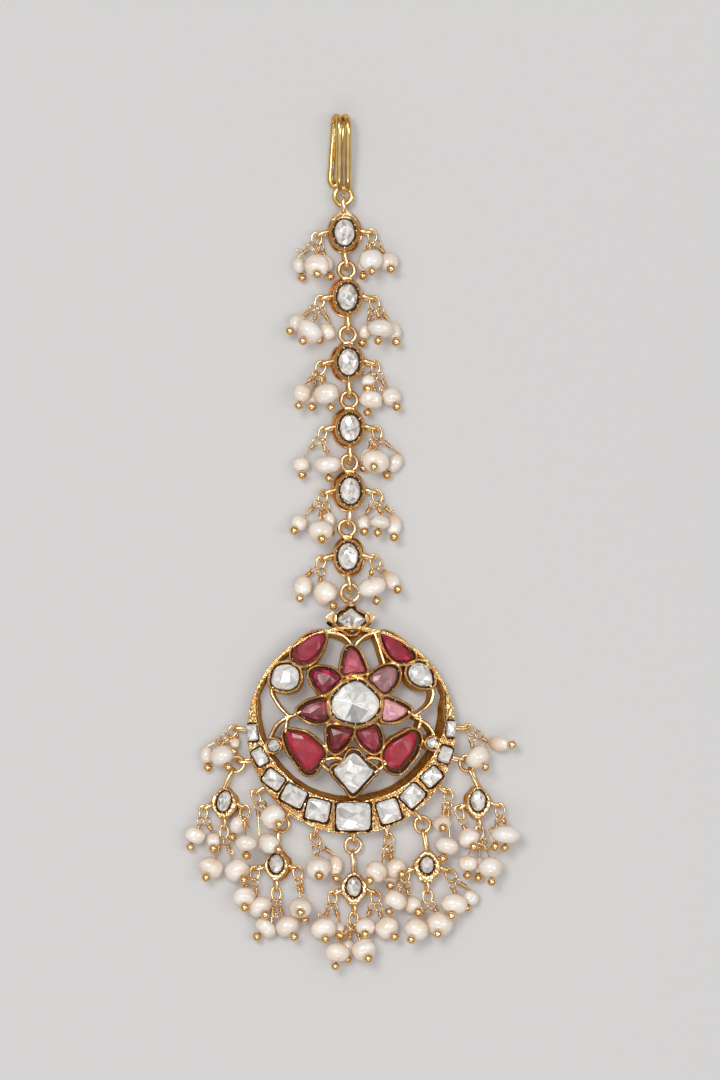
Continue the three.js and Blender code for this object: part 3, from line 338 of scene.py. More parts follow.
def stone(shape, outline, girdle, height, seed, shade, warp=plain, rows=((0.8, 8, 0.6), (0.45, 5, 0.95)), peak=None, deep=0.5):
    """Cut stone: rows of (share of the outline, number of corners, share of the height) make its facets, and each gets
    its own tint from shade, which paints the facets' reflections, glints and shade.
    """
    rng = random.Random(seed)
    n = len(outline)
    mid = outline.mean(0)
    points = []
    count = 22
    for k in range(count):
        q = outline[int(k * n / count) % n]
        points.append([*(mid + (q - mid) * rng.uniform(0.97, 1.0)), girdle + rng.uniform(-0.02, 0.02)])
        points.append([*(mid + (q - mid) * 0.98), girdle - deep])
    for share, corners, level in rows:
        start = rng.random()
        for k in range(corners):
            q = outline[int((k + start + rng.uniform(-0.22, 0.22)) * n / corners) % n]
            points.append([*(mid + (q - mid) * share * rng.uniform(0.9, 1.08)), girdle + height * level * rng.uniform(0.9, 1.08)])
    if peak is not None:
        points.append([mid[0] + peak[0], mid[1] + peak[1], girdle + height * peak[2]])
    verts, faces = hull(points)
    out_v, out_f, tints = [], [], []
    for f in faces:
        a, b, c = (verts[i] for i in f[:3])
        nor = unit(np.cross(b - a, c - a))
        middle = np.mean([verts[i] for i in f], axis=0)
        tints.append(shade(nor, middle - np.array([*mid, 0]), rng))
        out_f.append(list(range(len(out_v), len(out_v) + len(f))))
        out_v += [verts[i] for i in f]
    shape.add(warp(np.array(out_v)), out_f, 0.0, np.array(tints), True)


def silver(lightest=1.0, darkest=0.42, odds=0.3, warm=0.0):
    """Painted reflections of a clear stone over foil: mostly pale facets, some grey, and steep facets painted darker as
    shade.
    """
    def shade(nor, at, rng):
        g = rng.uniform(0.72, lightest) if rng.random() > odds else rng.uniform(darkest, 0.68)
        if nor[2] < 0.55:
            g *= 0.75
        return (g, g * (0.98 - warm * 0.5), g * (0.945 - warm))
    return shade


def red(r, g, b, spread=0.22, glint=0.0):
    # Random tone for each facet; steep facets painted darker as shade, and a share of facets painted as bright glints.
    def shade(nor, at, rng):
        k = 1 + rng.uniform(-spread, spread)
        if nor[2] < 0.6:
            k *= 0.55
        if glint and rng.random() < glint:
            return (min(1, r * 2.6), g * 1.5 + 0.01, min(1, b * 3.4))
        return (min(1, r * k), g * k, b * k)
    return shade


# ---- materials -------------------------------------------------------------------------
def node(tree, kind, **values):
    n = tree.nodes.new(kind)
    for key, value in values.items():
        if key in n.inputs:
            n.inputs[key].default_value = value
        else:
            setattr(n, key, value)
    return n


def link(tree, a, out, b, to):
    tree.links.new(a.outputs[out], b.inputs[to])


def base(name):
    m = bpy.data.materials.new(name)
    m.use_nodes = True
    t = m.node_tree
    shader = t.nodes["Principled BSDF"]
    where = t.nodes.new("ShaderNodeTexCoord")
    return m, t, shader, where


def noise(t, where, scale, detail=3.0, rough=0.55, distortion=0.0):
    n = node(t, "ShaderNodeTexNoise", Scale=scale, Detail=detail, Roughness=rough, Distortion=distortion)
    link(t, where, "Object", n, "Vector")
    return n


def ramp(t, source, out, stops):
    r = t.nodes.new("ShaderNodeValToRGB")
    r.color_ramp.elements[0].position, r.color_ramp.elements[0].color = stops[0][0], (*stops[0][1], 1)
    r.color_ramp.elements[1].position, r.color_ramp.elements[1].color = stops[-1][0], (*stops[-1][1], 1)
    for pos, colour in stops[1:-1]:
        r.color_ramp.elements.new(pos).color = (*colour, 1)
    link(t, source, out, r, "Fac")
    return r


def scaled(t, source, out, low, high, lo_in=0.3, hi_in=0.7):
    m = t.nodes.new("ShaderNodeMapRange")
    m.inputs["From Min"].default_value, m.inputs["From Max"].default_value = lo_in, hi_in
    m.inputs["To Min"].default_value, m.inputs["To Max"].default_value = low, high
    link(t, source, out, m, "Value")
    return m


def gold(name, smoothest, roughest, bump, grain=1500.0, tones=((0.82, 0.49, 0.18), (0.93, 0.65, 0.32), (1.0, 0.82, 0.54))):
    m, t, s, where = base(name)
    cloud = noise(t, where, 420.0, 4.0)
    colour = ramp(t, cloud, "Fac", [(0.3, tones[0]), (0.5, tones[1]), (0.72, tones[2])])
    # The dark attribute paints shade, with some patina in the recesses: it mixes the gold towards brown and near black,
    # less metallic and rougher.
    dark = node(t, "ShaderNodeAttribute", attribute_name="dark")
    patch = noise(t, where, 1900.0, 3.0)
    amount = t.nodes.new("ShaderNodeMath")
    amount.operation = "MULTIPLY_ADD"
    amount.use_clamp = True
    patchy = scaled(t, patch, "Fac", 0.6, 1.3)
    link(t, dark, "Fac", amount, 0)
    t.links.new(patchy.outputs["Result"], amount.inputs[1])
    amount.inputs[2].default_value = 0.0
    mix = node(t, "ShaderNodeMix", data_type="RGBA")
    cover = scaled(t, amount, 0, 0.0, 1.0, 0.0, 0.34)
    t.links.new(cover.outputs["Result"], mix.inputs[0])
    link(t, colour, "Color", mix, 6)
    shade_and_patina = ramp(t, amount, 0, [(0.0, (0.62, 0.27, 0.06)), (0.28, (0.42, 0.16, 0.03)), (0.5, (0.20, 0.075, 0.018)), (0.95, (0.075, 0.040, 0.024))])
    link(t, shade_and_patina, "Color", mix, 7)
    t.links.new(mix.outputs[2], s.inputs["Base Color"])
    metal = scaled(t, amount, 0, 1.0, 0.35, 0.35, 0.9)
    t.links.new(metal.outputs["Result"], s.inputs["Metallic"])
    fine = noise(t, where, 900.0, 3.0)
    rough = scaled(t, fine, "Fac", smoothest, roughest)
    more = t.nodes.new("ShaderNodeMath")
    more.operation = "MULTIPLY_ADD"
    more.inputs[1].default_value = 0.4
    t.links.new(amount.outputs[0], more.inputs[0])
    t.links.new(rough.outputs["Result"], more.inputs[2])
    t.links.new(more.outputs[0], s.inputs["Roughness"])
    lumps = noise(t, where, grain, 4.0, 0.6)
    s.inputs["Specular Tint"].default_value = (0.92, 0.60, 0.32, 1)
    b = node(t, "ShaderNodeBump", Strength=bump, Distance=0.00012)
    link(t, lumps, "Fac", b, "Height")
    link(t, b, "Normal", s, "Normal")
    return m


def gem(name, ior, roughness, streak, coat, grain, low, metallic=0.0):
    m, t, s, where = base(name)
    tint = node(t, "ShaderNodeAttribute", attribute_name="tint")
    inside = noise(t, where, streak, 5.0, 0.65, 0.8)
    veil = scaled(t, inside, "Fac", low, 1.06, 0.32, 0.62)
    grey = t.nodes.new("ShaderNodeCombineColor")
    for k in range(3):
        t.links.new(veil.outputs["Result"], grey.inputs[k])
    mix = node(t, "ShaderNodeMix", data_type="RGBA", blend_type="MULTIPLY")
    mix.inputs[0].default_value = 1.0
    link(t, tint, "Color", mix, 6)
    link(t, grey, "Color", mix, 7)
    t.links.new(mix.outputs[2], s.inputs["Base Color"])
    s.inputs["IOR"].default_value = ior
    s.inputs["Metallic"].default_value = metallic
    s.inputs["Coat Weight"].default_value = coat
    s.inputs["Coat Roughness"].default_value = 0.04
    fine = noise(t, where, grain, 2.0)
    r = scaled(t, fine, "Fac", roughness * 0.6, roughness * 1.7)
    t.links.new(r.outputs["Result"], s.inputs["Roughness"])
    b = node(t, "ShaderNodeBump", Strength=0.16, Distance=0.0001)
    link(t, inside, "Fac", b, "Height")
    link(t, b, "Normal", s, "Normal")
    return m


def nacre(name):
    m, t, s, where = base(name)
    tint = node(t, "ShaderNodeAttribute", attribute_name="tint")
    cloud = noise(t, where, 330.0, 4.0, 0.5, 0.4)
    orient = ramp(t, cloud, "Fac", [(0.28, (0.88, 0.72, 0.60)), (0.42, (0.96, 0.88, 0.79)), (0.56, (1.0, 0.98, 0.95)), (0.75, (0.94, 0.94, 0.93))])
    mix = node(t, "ShaderNodeMix", data_type="RGBA", blend_type="MULTIPLY")
    mix.inputs[0].default_value = 1.0
    link(t, tint, "Color", mix, 6)
    link(t, orient, "Color", mix, 7)
    t.links.new(mix.outputs[2], s.inputs["Base Color"])
    s.inputs["Coat Weight"].default_value = 1.0
    s.inputs["Coat Roughness"].default_value = 0.06
    s.inputs["IOR"].default_value = 1.6
    s.inputs["Sheen Weight"].default_value = 0.05
    s.inputs["Sheen Tint"].default_value = (1.0, 0.86, 0.82, 1)
    fine = noise(t, where, 1400.0, 3.0)
    r = scaled(t, fine, "Fac", 0.12, 0.22)
    t.links.new(r.outputs["Result"], s.inputs["Roughness"])
    ridges = noise(t, where, 450.0, 3.0, 0.45, 0.6)
    b = node(t, "ShaderNodeBump", Strength=0.3, Distance=0.00012)
    link(t, ridges, "Fac", b, "Height")
    link(t, b, "Normal", s, "Normal")
    return m


WORKED = gold("gold_worked", 0.12, 0.24, 0.11)
SMOOTH = gold("gold_smooth", 0.1, 0.2, 0.1, 900.0, ((0.72, 0.50, 0.17), (0.86, 0.62, 0.24), (0.95, 0.76, 0.40)))
WIRED = gold("gold_wire", 0.13, 0.24, 0.1, 1300.0)
CLEAR = gem("polki_stone", 2.3, 0.06, 820.0, 0.6, 800.0, 0.66, 0.0)
RUBY = gem("red_stone", 1.5, 0.2, 380.0, 0.0, 700.0, 0.7)
PEARL = nacre("pearl_nacre")

# ---- hook -----------------------------------------------------------------------------
HOOK_TOP, HOOK_FOOT, HOOK_BEND, HOOK_BACK, SPREAD, RING_X, RING_Y = 61.14, 50.95, 1.75, 0.5, 1.24, -1.36, 49.4
FRONT_X, HOOK_HIGH = RING_X - 0.51, HOOK_BACK + 2 * HOOK_BEND
LEG = table("x y z", [
    (0, HOOK_FOOT - 0.4, 1.6), (0, HOOK_FOOT + 0.9, 2.35), (0, HOOK_FOOT + 3, 2.9), (0, HOOK_TOP - 2.6, HOOK_HIGH - 0.1),
    (-0.1, HOOK_TOP - 1.0, HOOK_HIGH - 0.45), (-0.4, HOOK_TOP - 0.45, HOOK_BACK + HOOK_BEND), (-0.75, HOOK_TOP - 1.0, HOOK_BACK + 0.45),
    (-0.87, HOOK_TOP - 2.6, HOOK_BACK + 0.04), (-1.18, HOOK_FOOT + 3, HOOK_BACK), (-1.28, HOOK_FOOT + 0.7, HOOK_BACK),
])
left = [[FRONT_X + r["x"], r["y"], r["z"]] for r in LEG]
right = [[FRONT_X + r["x"] + SPREAD, r["y"], r["z"]] for r in LEG][::-1]
turn_at = [FRONT_X - 1.3 + SPREAD / 2, HOOK_FOOT - 0.05, HOOK_BACK]
hook = Shape()
tube(hook, smooth([*left, turn_at, *right], 14), HOOK_WIRE, sides=16, rough=0.015, seed=3)
loop(hook, [RING_X, RING_Y, MID + 0.3], 1.23, HOOK_RING_WIRE, steps=44, sides=14, rough=0.03, seed=4)
make("hook_wire", hook, SMOOTH, "gold", "hook", crease=0)

# ---- links ------------------------------------------------------------------------------
LINKS = table("x y wide tall lean left right pointed", [
    (-1.2, 44.2, 4.6, 5.6, 0, 200, -6, True),
    (-0.75, 34.95, 4.4, 5.3, -0.35, 193, -16, False),
    (-0.6, 25.7, 4.5, 5.3, -0.3, 198, -17, False),
    (-0.4, 16.3, 4.4, 5.4, -0.35, 198, -13, False),
    (-0.35, 7.25, 4.4, 5.5, -0.35, 199, -15, False),
    (-0.7, -2.1, 4.3, 5.5, 0.1, 200, -14, False),
])
RING_ABOVE, RING_R = 1.25, 1.14
bunch_eyes = {}


def claws(outline, seed, count, reach, inside, top):
    """Small burrs of gold pushed over a stone's edge: their middles and sizes."""
    rng = random.Random(seed)
    n, nor, out = len(outline), normals(outline), []
    for k in range(count):
        i = int((k + rng.uniform(-0.25, 0.25)) * n / count) % n
        p = outline[i] + nor[i] * inside
        out.append((p, nor[i], reach * rng.uniform(0.75, 1.25), top + rng.uniform(-0.03, 0.05)))
    return out


def burr(shape, at, nor, size, z, warp=plain):
    """One burr: a low rounded tongue pointing inwards."""
    t = np.array([-nor[1], nor[0]])
    verts, rings, sides = [], 4, 8
    for k in range(rings):
        r, h = math.cos(k / rings * math.pi / 2), math.sin(k / rings * math.pi / 2)
        for j in range(sides):
            a = j / sides * 2 * math.pi
            xy = at + nor * (math.cos(a) * size * 1.25 * r) + t * (math.sin(a) * size * 0.8 * r)
            verts.append([*xy, z - 0.12 + h * size * 0.75])
    verts.append([*at, z - 0.12 + size * 0.75])
    faces = [[k * sides + j, k * sides + (j + 1) % sides, (k + 1) * sides + (j + 1) % sides, (k + 1) * sides + j] for k in range(rings - 1) for j in range(sides)]
    faces += [[(rings - 1) * sides + j, (rings - 1) * sides + (j + 1) % sides, rings * sides] for j in range(sides)]
    faces.append(list(range(sides))[::-1])
    shape.add(warp(np.array(verts)), faces)


for i, row in enumerate(LINKS):
    x, y, wide, tall, lean = row["x"], row["y"], row["wide"], row["tall"], row["lean"]
    warp, body = skew(lean), Shape()
    gx = x + 0.06
    rim = rounded(gx, y, 2.85, 3.75)
    edge, wall = 0.27, (wide - 2.95) / 2 - 0.27
    setting(body, rim, edge, wall, BEZEL, 0.62, 0.06, 11 * i + 5, warp, 0.045)
    # Rolled wire round the foot of the setting, painted darker as shade.
    foot = rounded(gx, y, wide + 0.1, tall + 0.05)
    tube(body, warp(np.column_stack([foot, np.full(len(foot), 0.3)])), 0.2, True, 8, dark=0.15, rough=0.08, seed=i)
    for p, nor, size, z in claws(rim, 31 * i + 2, 9, 0.17, edge + 0.04, BEZEL):
        burr(body, p, nor, size, z, warp)
    top, under = y + tall / 2, y - tall / 2
    if row["pointed"]:
        # The hood's lower wall and the small loop on it are painted darker as shade.
        hood = smooth([[x - 1.75, top - 1.15], [x - 1.2, top - 0.35], [x - 0.45, top + 0.45], [x, top + 0.95], [x + 0.45, top + 0.45], [x + 1.2, top - 0.35], [x + 1.75, top - 1.15], [x, top - 0.75]], 8, True)[::-1]
        shell(body, hood, [(-0.25, BEZEL + 0.02, 0.0), (-0.12, BEZEL + 0.03, 0), (0.0, BEZEL - 0.08, 0), (0.04, BEZEL - 0.4, 0.1), (0.02, 0.3, 0.3), (-0.1, 0.06, 0.3), (-0.3, 0.06, 0.3)], warp)
        loop(body, [x + 0.05, top + 0.18, BEZEL + 0.02], 0.2, 0.09, steps=16, sides=7, dark=0.2)
        eye(body, [x, top + 0.05], 90, BAIL_WIRE, 1.0, 0.4, MID + 0.3, tilt=6, seed=i)
    else:
        # The ring and the lower wall of the block under it are painted darker as shade.
        loop(body, [x - 0.1, top + RING_ABOVE, MID + 0.15], RING_R, LINK_WIRE + 0.02, steps=40, sides=11, rough=0.04, dark=0.1, seed=i + 40)
        shell(body, rounded(x - 0.05, top + 0.02, 1.5, 0.75, power=2.6, count=32), [(-0.25, 1.9, 0.0), (-0.1, 1.85, 0), (0, 1.6, 0), (0, 0.8, 0.2), (-0.2, 0.7, 0.2)], plain)
    nxt = LINKS[i + 1] if i < 5 else None
    goal = [nxt["x"] - 0.1, nxt["y"] + nxt["tall"] / 2 + RING_ABOVE] if nxt else [-0.36, -7.33]
    eye(body, [x, under + 0.1], math.atan2(goal[1] - under, goal[0] - x) / RAD, BAIL_WIRE, 0.97, 0.5, MID + 0.15, tilt=8, seed=i + 60)
    for side, sign in (("left", -1), ("right", 1)):
        end = eye(body, [x + sign * (wide / 2 - 0.1), y + 0.1], row[side], seed=i * 2 + sign, tilt=14 * sign)
        bunch_eyes[f"link_pearls_{i + 1}_{side}"] = end
        # Solder where the eye meets the wall.
        u = unit([math.cos(row[side] * RAD), math.sin(row[side] * RAD), 0])
        at = np.array([x + sign * (wide / 2 + 0.02), y + 0.1, MID])
        tube(body, [at - u * 0.15, at + u * 0.08, at + u * 0.3], [0.5, 0.42, 0.3], sides=9, dark=0.12)
    make(f"link_gold_{i + 1}", body, WORKED, "gold", f"link_{i + 1}")
    cut = Shape()
    stone(cut, rim, BEZEL - 0.22, 0.42, 71 * i + 9, silver(1.0, 0.3, 0.36, 0.05), warp, rows=((0.82, 8, 0.55), (0.52, 6, 0.9), (0.2, 3, 1.02)), deep=0.35)
    make(f"link_polki_{i + 1}", cut, CLEAR, "clear_stone", f"link_stone_{i + 1}", crease=0)

# ---- pendant --------------------------------------------------------------------------------
OUTLINES = {  # girdle of each stone, as points of a smooth closed line
    "petal_top": [(-0.11, -15.18), (0.57, -15.54), (1.14, -16.61), (1.57, -17.61), (1.79, -18.46), (0.79, -18.51), (-0.21, -18.46), (-1.21, -18.75), (-1.17, -17.46), (-0.93, -16.32), (-0.6, -15.46)],
    "petal_upper_right": [(2.43, -19.61), (3.21, -18.61), (4.36, -17.96), (5.64, -17.75), (6.4, -18.32), (6.36, -19.46), (5.79, -20.61), (4.93, -21.39), (4.29, -21.39), (3.36, -20.46)],
    "petal_right": [(4.57, -22.46), (5.5, -22.61), (6.5, -23.04), (7.43, -23.54), (8.0, -24.11), (7.21, -24.89), (5.93, -25.44), (4.43, -25.39), (4.54, -23.89)],
    "petal_lower_right": [(0.76, -27.04), (2.41, -26.58), (3.21, -26.42), (3.84, -27.69), (3.84, -29.12), (3.36, -29.82), (2.59, -29.75), (1.47, -28.79), (0.87, -27.82)],
    "petal_lower_left": [(-3.3, -26.58), (-2.03, -26.42), (-0.11, -26.74), (-0.27, -27.69), (-0.76, -28.64), (-1.7, -29.59), (-2.5, -29.89), (-3.21, -29.28), (-3.37, -28.01)],
    "petal_left": [(-7.64, -24.28), (-6.79, -23.26), (-4.89, -22.55), (-3.84, -22.61), (-3.69, -23.89), (-3.57, -25.15), (-4.89, -25.65), (-6.47, -25.15)],
    "petal_upper_left": [(-5.96, -18.64), (-5.04, -18.08), (-3.61, -18.08), (-2.5, -18.64), (-1.87, -19.51), (-2.66, -20.38), (-3.61, -21.18), (-4.56, -21.39), (-5.36, -20.38), (-5.86, -19.44)],
    "leaf_upper_left": [(-4.31, -13.04), (-4.14, -14.32), (-5.07, -16.18), (-6.07, -17.04), (-7.21, -17.26), (-8.29, -16.61), (-8.14, -15.32), (-6.86, -13.96), (-5.5, -13.18)],
    "leaf_upper_right": [(4.29, -13.04), (6.03, -13.71), (7.69, -15.15), (8.57, -16.54), (6.86, -17.08), (5.61, -16.39), (4.79, -15.11)],
    "leaf_lower_left": [(-9.57, -27.11), (-8.5, -27.11), (-6.87, -27.46), (-5.64, -28.25), (-4.59, -29.21), (-4.24, -30.22), (-4.93, -31.46), (-5.86, -32.72), (-6.87, -32.46), (-7.93, -31.04), (-8.9, -29.68), (-9.43, -28.25)],
    "leaf_lower_right": [(8.3, -27.14), (9.07, -27.36), (9.24, -28.41), (8.46, -30.31), (7.03, -32.04), (6.39, -32.45), (5.27, -32.21), (4.64, -30.94), (4.79, -29.66), (5.76, -28.56), (7.19, -27.75)],
    "pear_left": [(-10.93, -17.84), (-9.24, -17.42), (-7.93, -18.15), (-7.64, -19.46), (-8.07, -20.61), (-9.24, -21.14), (-10.64, -20.94), (-11.5, -20.46), (-11.6, -19.28)],
    "pear_right": [(9.34, -17.22), (10.57, -17.49), (11.26, -18.46), (11.53, -19.69), (11.31, -20.52), (9.86, -20.55), (8.64, -19.89), (8.07, -18.68), (8.43, -17.68)],
    "center_stone": [(0.5, -19.75), (1.47, -20.04), (2.59, -21.02), (3.53, -21.98), (3.99, -23.24), (3.53, -24.51), (2.41, -25.46), (0.83, -25.94), (-1.07, -25.61), (-2.5, -24.84), (-3.1, -23.56), (-2.81, -22.11), (-1.7, -20.86), (-0.57, -20.06)],
    "lozenge_bottom": [(-2.74, -32.54), (-1.64, -32.11), (-0.93, -31.32), (-0.43, -30.39), (0.21, -30.11), (0.93, -30.54), (1.5, -31.39), (2.29, -32.04), (3.21, -32.75), (2.5, -33.54), (1.64, -34.46), (0.61, -35.75), (-0.07, -36.04), (-0.79, -35.04), (-1.79, -34.04), (-2.5, -33.18)],
    "lozenge_top": [(-0.14, -9.39), (0.43, -10.04), (1.07, -10.46), (2.0, -11.04), (1.07, -11.75), (0.5, -12.46), (0.0, -12.82), (-0.71, -12.32), (-1.5, -11.75), (-2.07, -11.04), (-1.5, -10.32), (-0.86, -9.96)],
}
LEAVES = table("name edge more side wall r g b glint", [
    # edge: dark margin round the stone; more, side: how much wider it is and in which direction; r g b: colour of a red
    # stone; glint: share of its facets painted as bright glints
    ("petal_top", 0.27, 0.5, 165, 0.42, 0.5694, 0.1035, 0.1522, 0),
    ("petal_upper_right", 0.2, 0.3, -20, 0.42, 0.3816, 0.1694, 0.1714, 0),
    ("petal_right", 0.2, 0.7, 15, 0.42, 0.7309, 0.3521, 0.3547, 0.05),
    ("petal_lower_right", 0.24, 0.5, 30, 0.42, 0.3243, 0.0239, 0.0397, 0.04),
    ("petal_lower_left", 0.2, 0.2, 200, 0.42, 0.1558, 0.009, 0.01, 0.12),
    ("petal_left", 0.22, 0.2, 200, 0.42, 0.1525, 0.019, 0.0228, 0.14),
    ("petal_upper_left", 0.2, 0.3, -60, 0.42, 0.2165, 0.0063, 0.0271, 0.25),
    ("leaf_upper_left", 0.28, 0.5, 200, 0.4, 0.33, 0.02, 0.045, 0),
    ("leaf_upper_right", 0.26, 0.7, -10, 0.4, 0.3174, 0.0146, 0.0339, 0.06),
    ("leaf_lower_left", 0.32, 0.6, -80, 0.4, 0.4026, 0.0204, 0.0423, 0),
    ("leaf_lower_right", 0.36, 0.7, -50, 0.4, 0.4063, 0.0145, 0.037, 0),
    ("pear_left", 0.2, 0.3, 0, 0.38, 0, 0, 0, 0),
    ("pear_right", 0.22, 0.6, 190, 0.38, 0, 0, 0, 0),
])
ROUNDS = table("name edge more side wall", [
    ("center_stone", 0.13, 0.3, 220, 0.62),
    ("round_left", 0.08, 0, 0, 0.34),
    ("round_right", 0.1, 0, 0, 0.34),
    ("lozenge_bottom", 0.3, 0.5, 60, 0.36),
    ("lozenge_top", 0.42, 0.3, 200, 0.34),
])
PAVE = table("x y wide tall turn", [
    (-14.43, -27.25, 1.7, 2.45, 6), (-13.29, -30.75, 1.8, 2.5, 33), (-11.34, -34.0, 2.9, 2.25, -36), (-8.4, -36.35, 3.35, 2.75, -28),
    (-4.95, -38.4, 3.35, 3.1, -12), (0.14, -39.3, 4.95, 4.1, 0), (5.25, -38.55, 3.1, 3.3, 18), (8.68, -36.32, 3.1, 2.65, 46),
    (11.4, -33.62, 2.8, 2.2, 41), (13.36, -30.4, 1.8, 2.35, -18), (14.2, -26.75, 1.4, 2.35, -3),
])
TIPS = [  # points beside and above the top lozenge
    [[-3.5, -10.85], [-2.95, -11.2], [-2.6, -11.3], [-2.55, -10.75], [-2.7, -10.35], [-3.0, -10.55]][::-1],
    [[2.85, -10.75], [2.5, -10.45], [2.2, -10.5], [2.15, -11.0], [2.3, -11.35], [2.6, -11.1]][::-1],
    [[-0.2, -8.4], [0.15, -8.7], [0.45, -9.0], [-0.15, -9.15], [-0.75, -9.0], [-0.5, -8.7]][::-1],
]
STRIPS = [
    [[0.04, -14.75], [-0.99, -13.62], [-2.14, -13.05], [-3.7, -12.85]], [[0.4, -14.7], [1.49, -13.58], [2.73, -13.05], [4.0, -12.8]], [[3.0, -12.5], [3.7, -14.4], [4.6, -17.4]],
    [[-11.4, -20.7], [-11.6, -21.6], [-10.4, -23.6], [-9.0, -25.0]], [[11.1, -20.4], [11.6, -21.4], [11.0, -23.2], [8.8, -24.9]], [[-8.9, -24.9], [-10.7, -25.9], [-11.9, -28.0]],
    [[8.9, -25.0], [10.8, -26.1], [12.0, -28.2]], [[-12.3, -29.3], [-12.9, -30.0], [-13.4, -30.6]], [[11.9, -29.2], [12.6, -29.9], [13.2, -30.5]],
    [[-9.6, -25.0], [-8.6, -24.8], [-7.4, -24.2]], [[-9.2, -24.9], [-9.5, -25.9], [-9.6, -27.2]], [[9.7, -24.8], [9.75, -25.8], [9.3, -27.0]], [[9.4, -24.9], [8.8, -24.7], [8.0, -24.2]], [[-4.4, -31.4], [-3.4, -31.0], [-2.3, -30.85], [-1.3, -31.1]],
    [[4.7, -31.4], [3.8, -31.0], [2.8, -30.85], [1.8, -31.1]], [[-4.6, -31.6], [-3.7, -32.4], [-2.9, -33.0]], [[4.9, -31.6], [4.0, -32.4], [3.2, -33.0]],
]
FRAME_EYES = table("x y turn hangs", [
    (-15.45, -26.8, 178, "crescent_pearls_1"), (-14.9, -31.3, 184, "drop_1"), (-12.7, -35.3, 212, "crescent_pearls_2"),
    (-9.1, -38.8, 228, "drop_2"), (-5.1, -40.8, 255, "crescent_pearls_3"), (0.05, -41.4, 270, "drop_3"),
    (4.8, -40.8, 284, "crescent_pearls_4"), (8.9, -38.8, 310, "drop_4"), (12.5, -35.1, 325, "crescent_pearls_5"),
    (14.7, -31.0, 350, "drop_5"), (15.1, -26.6, 0, "crescent_pearls_6"),
])


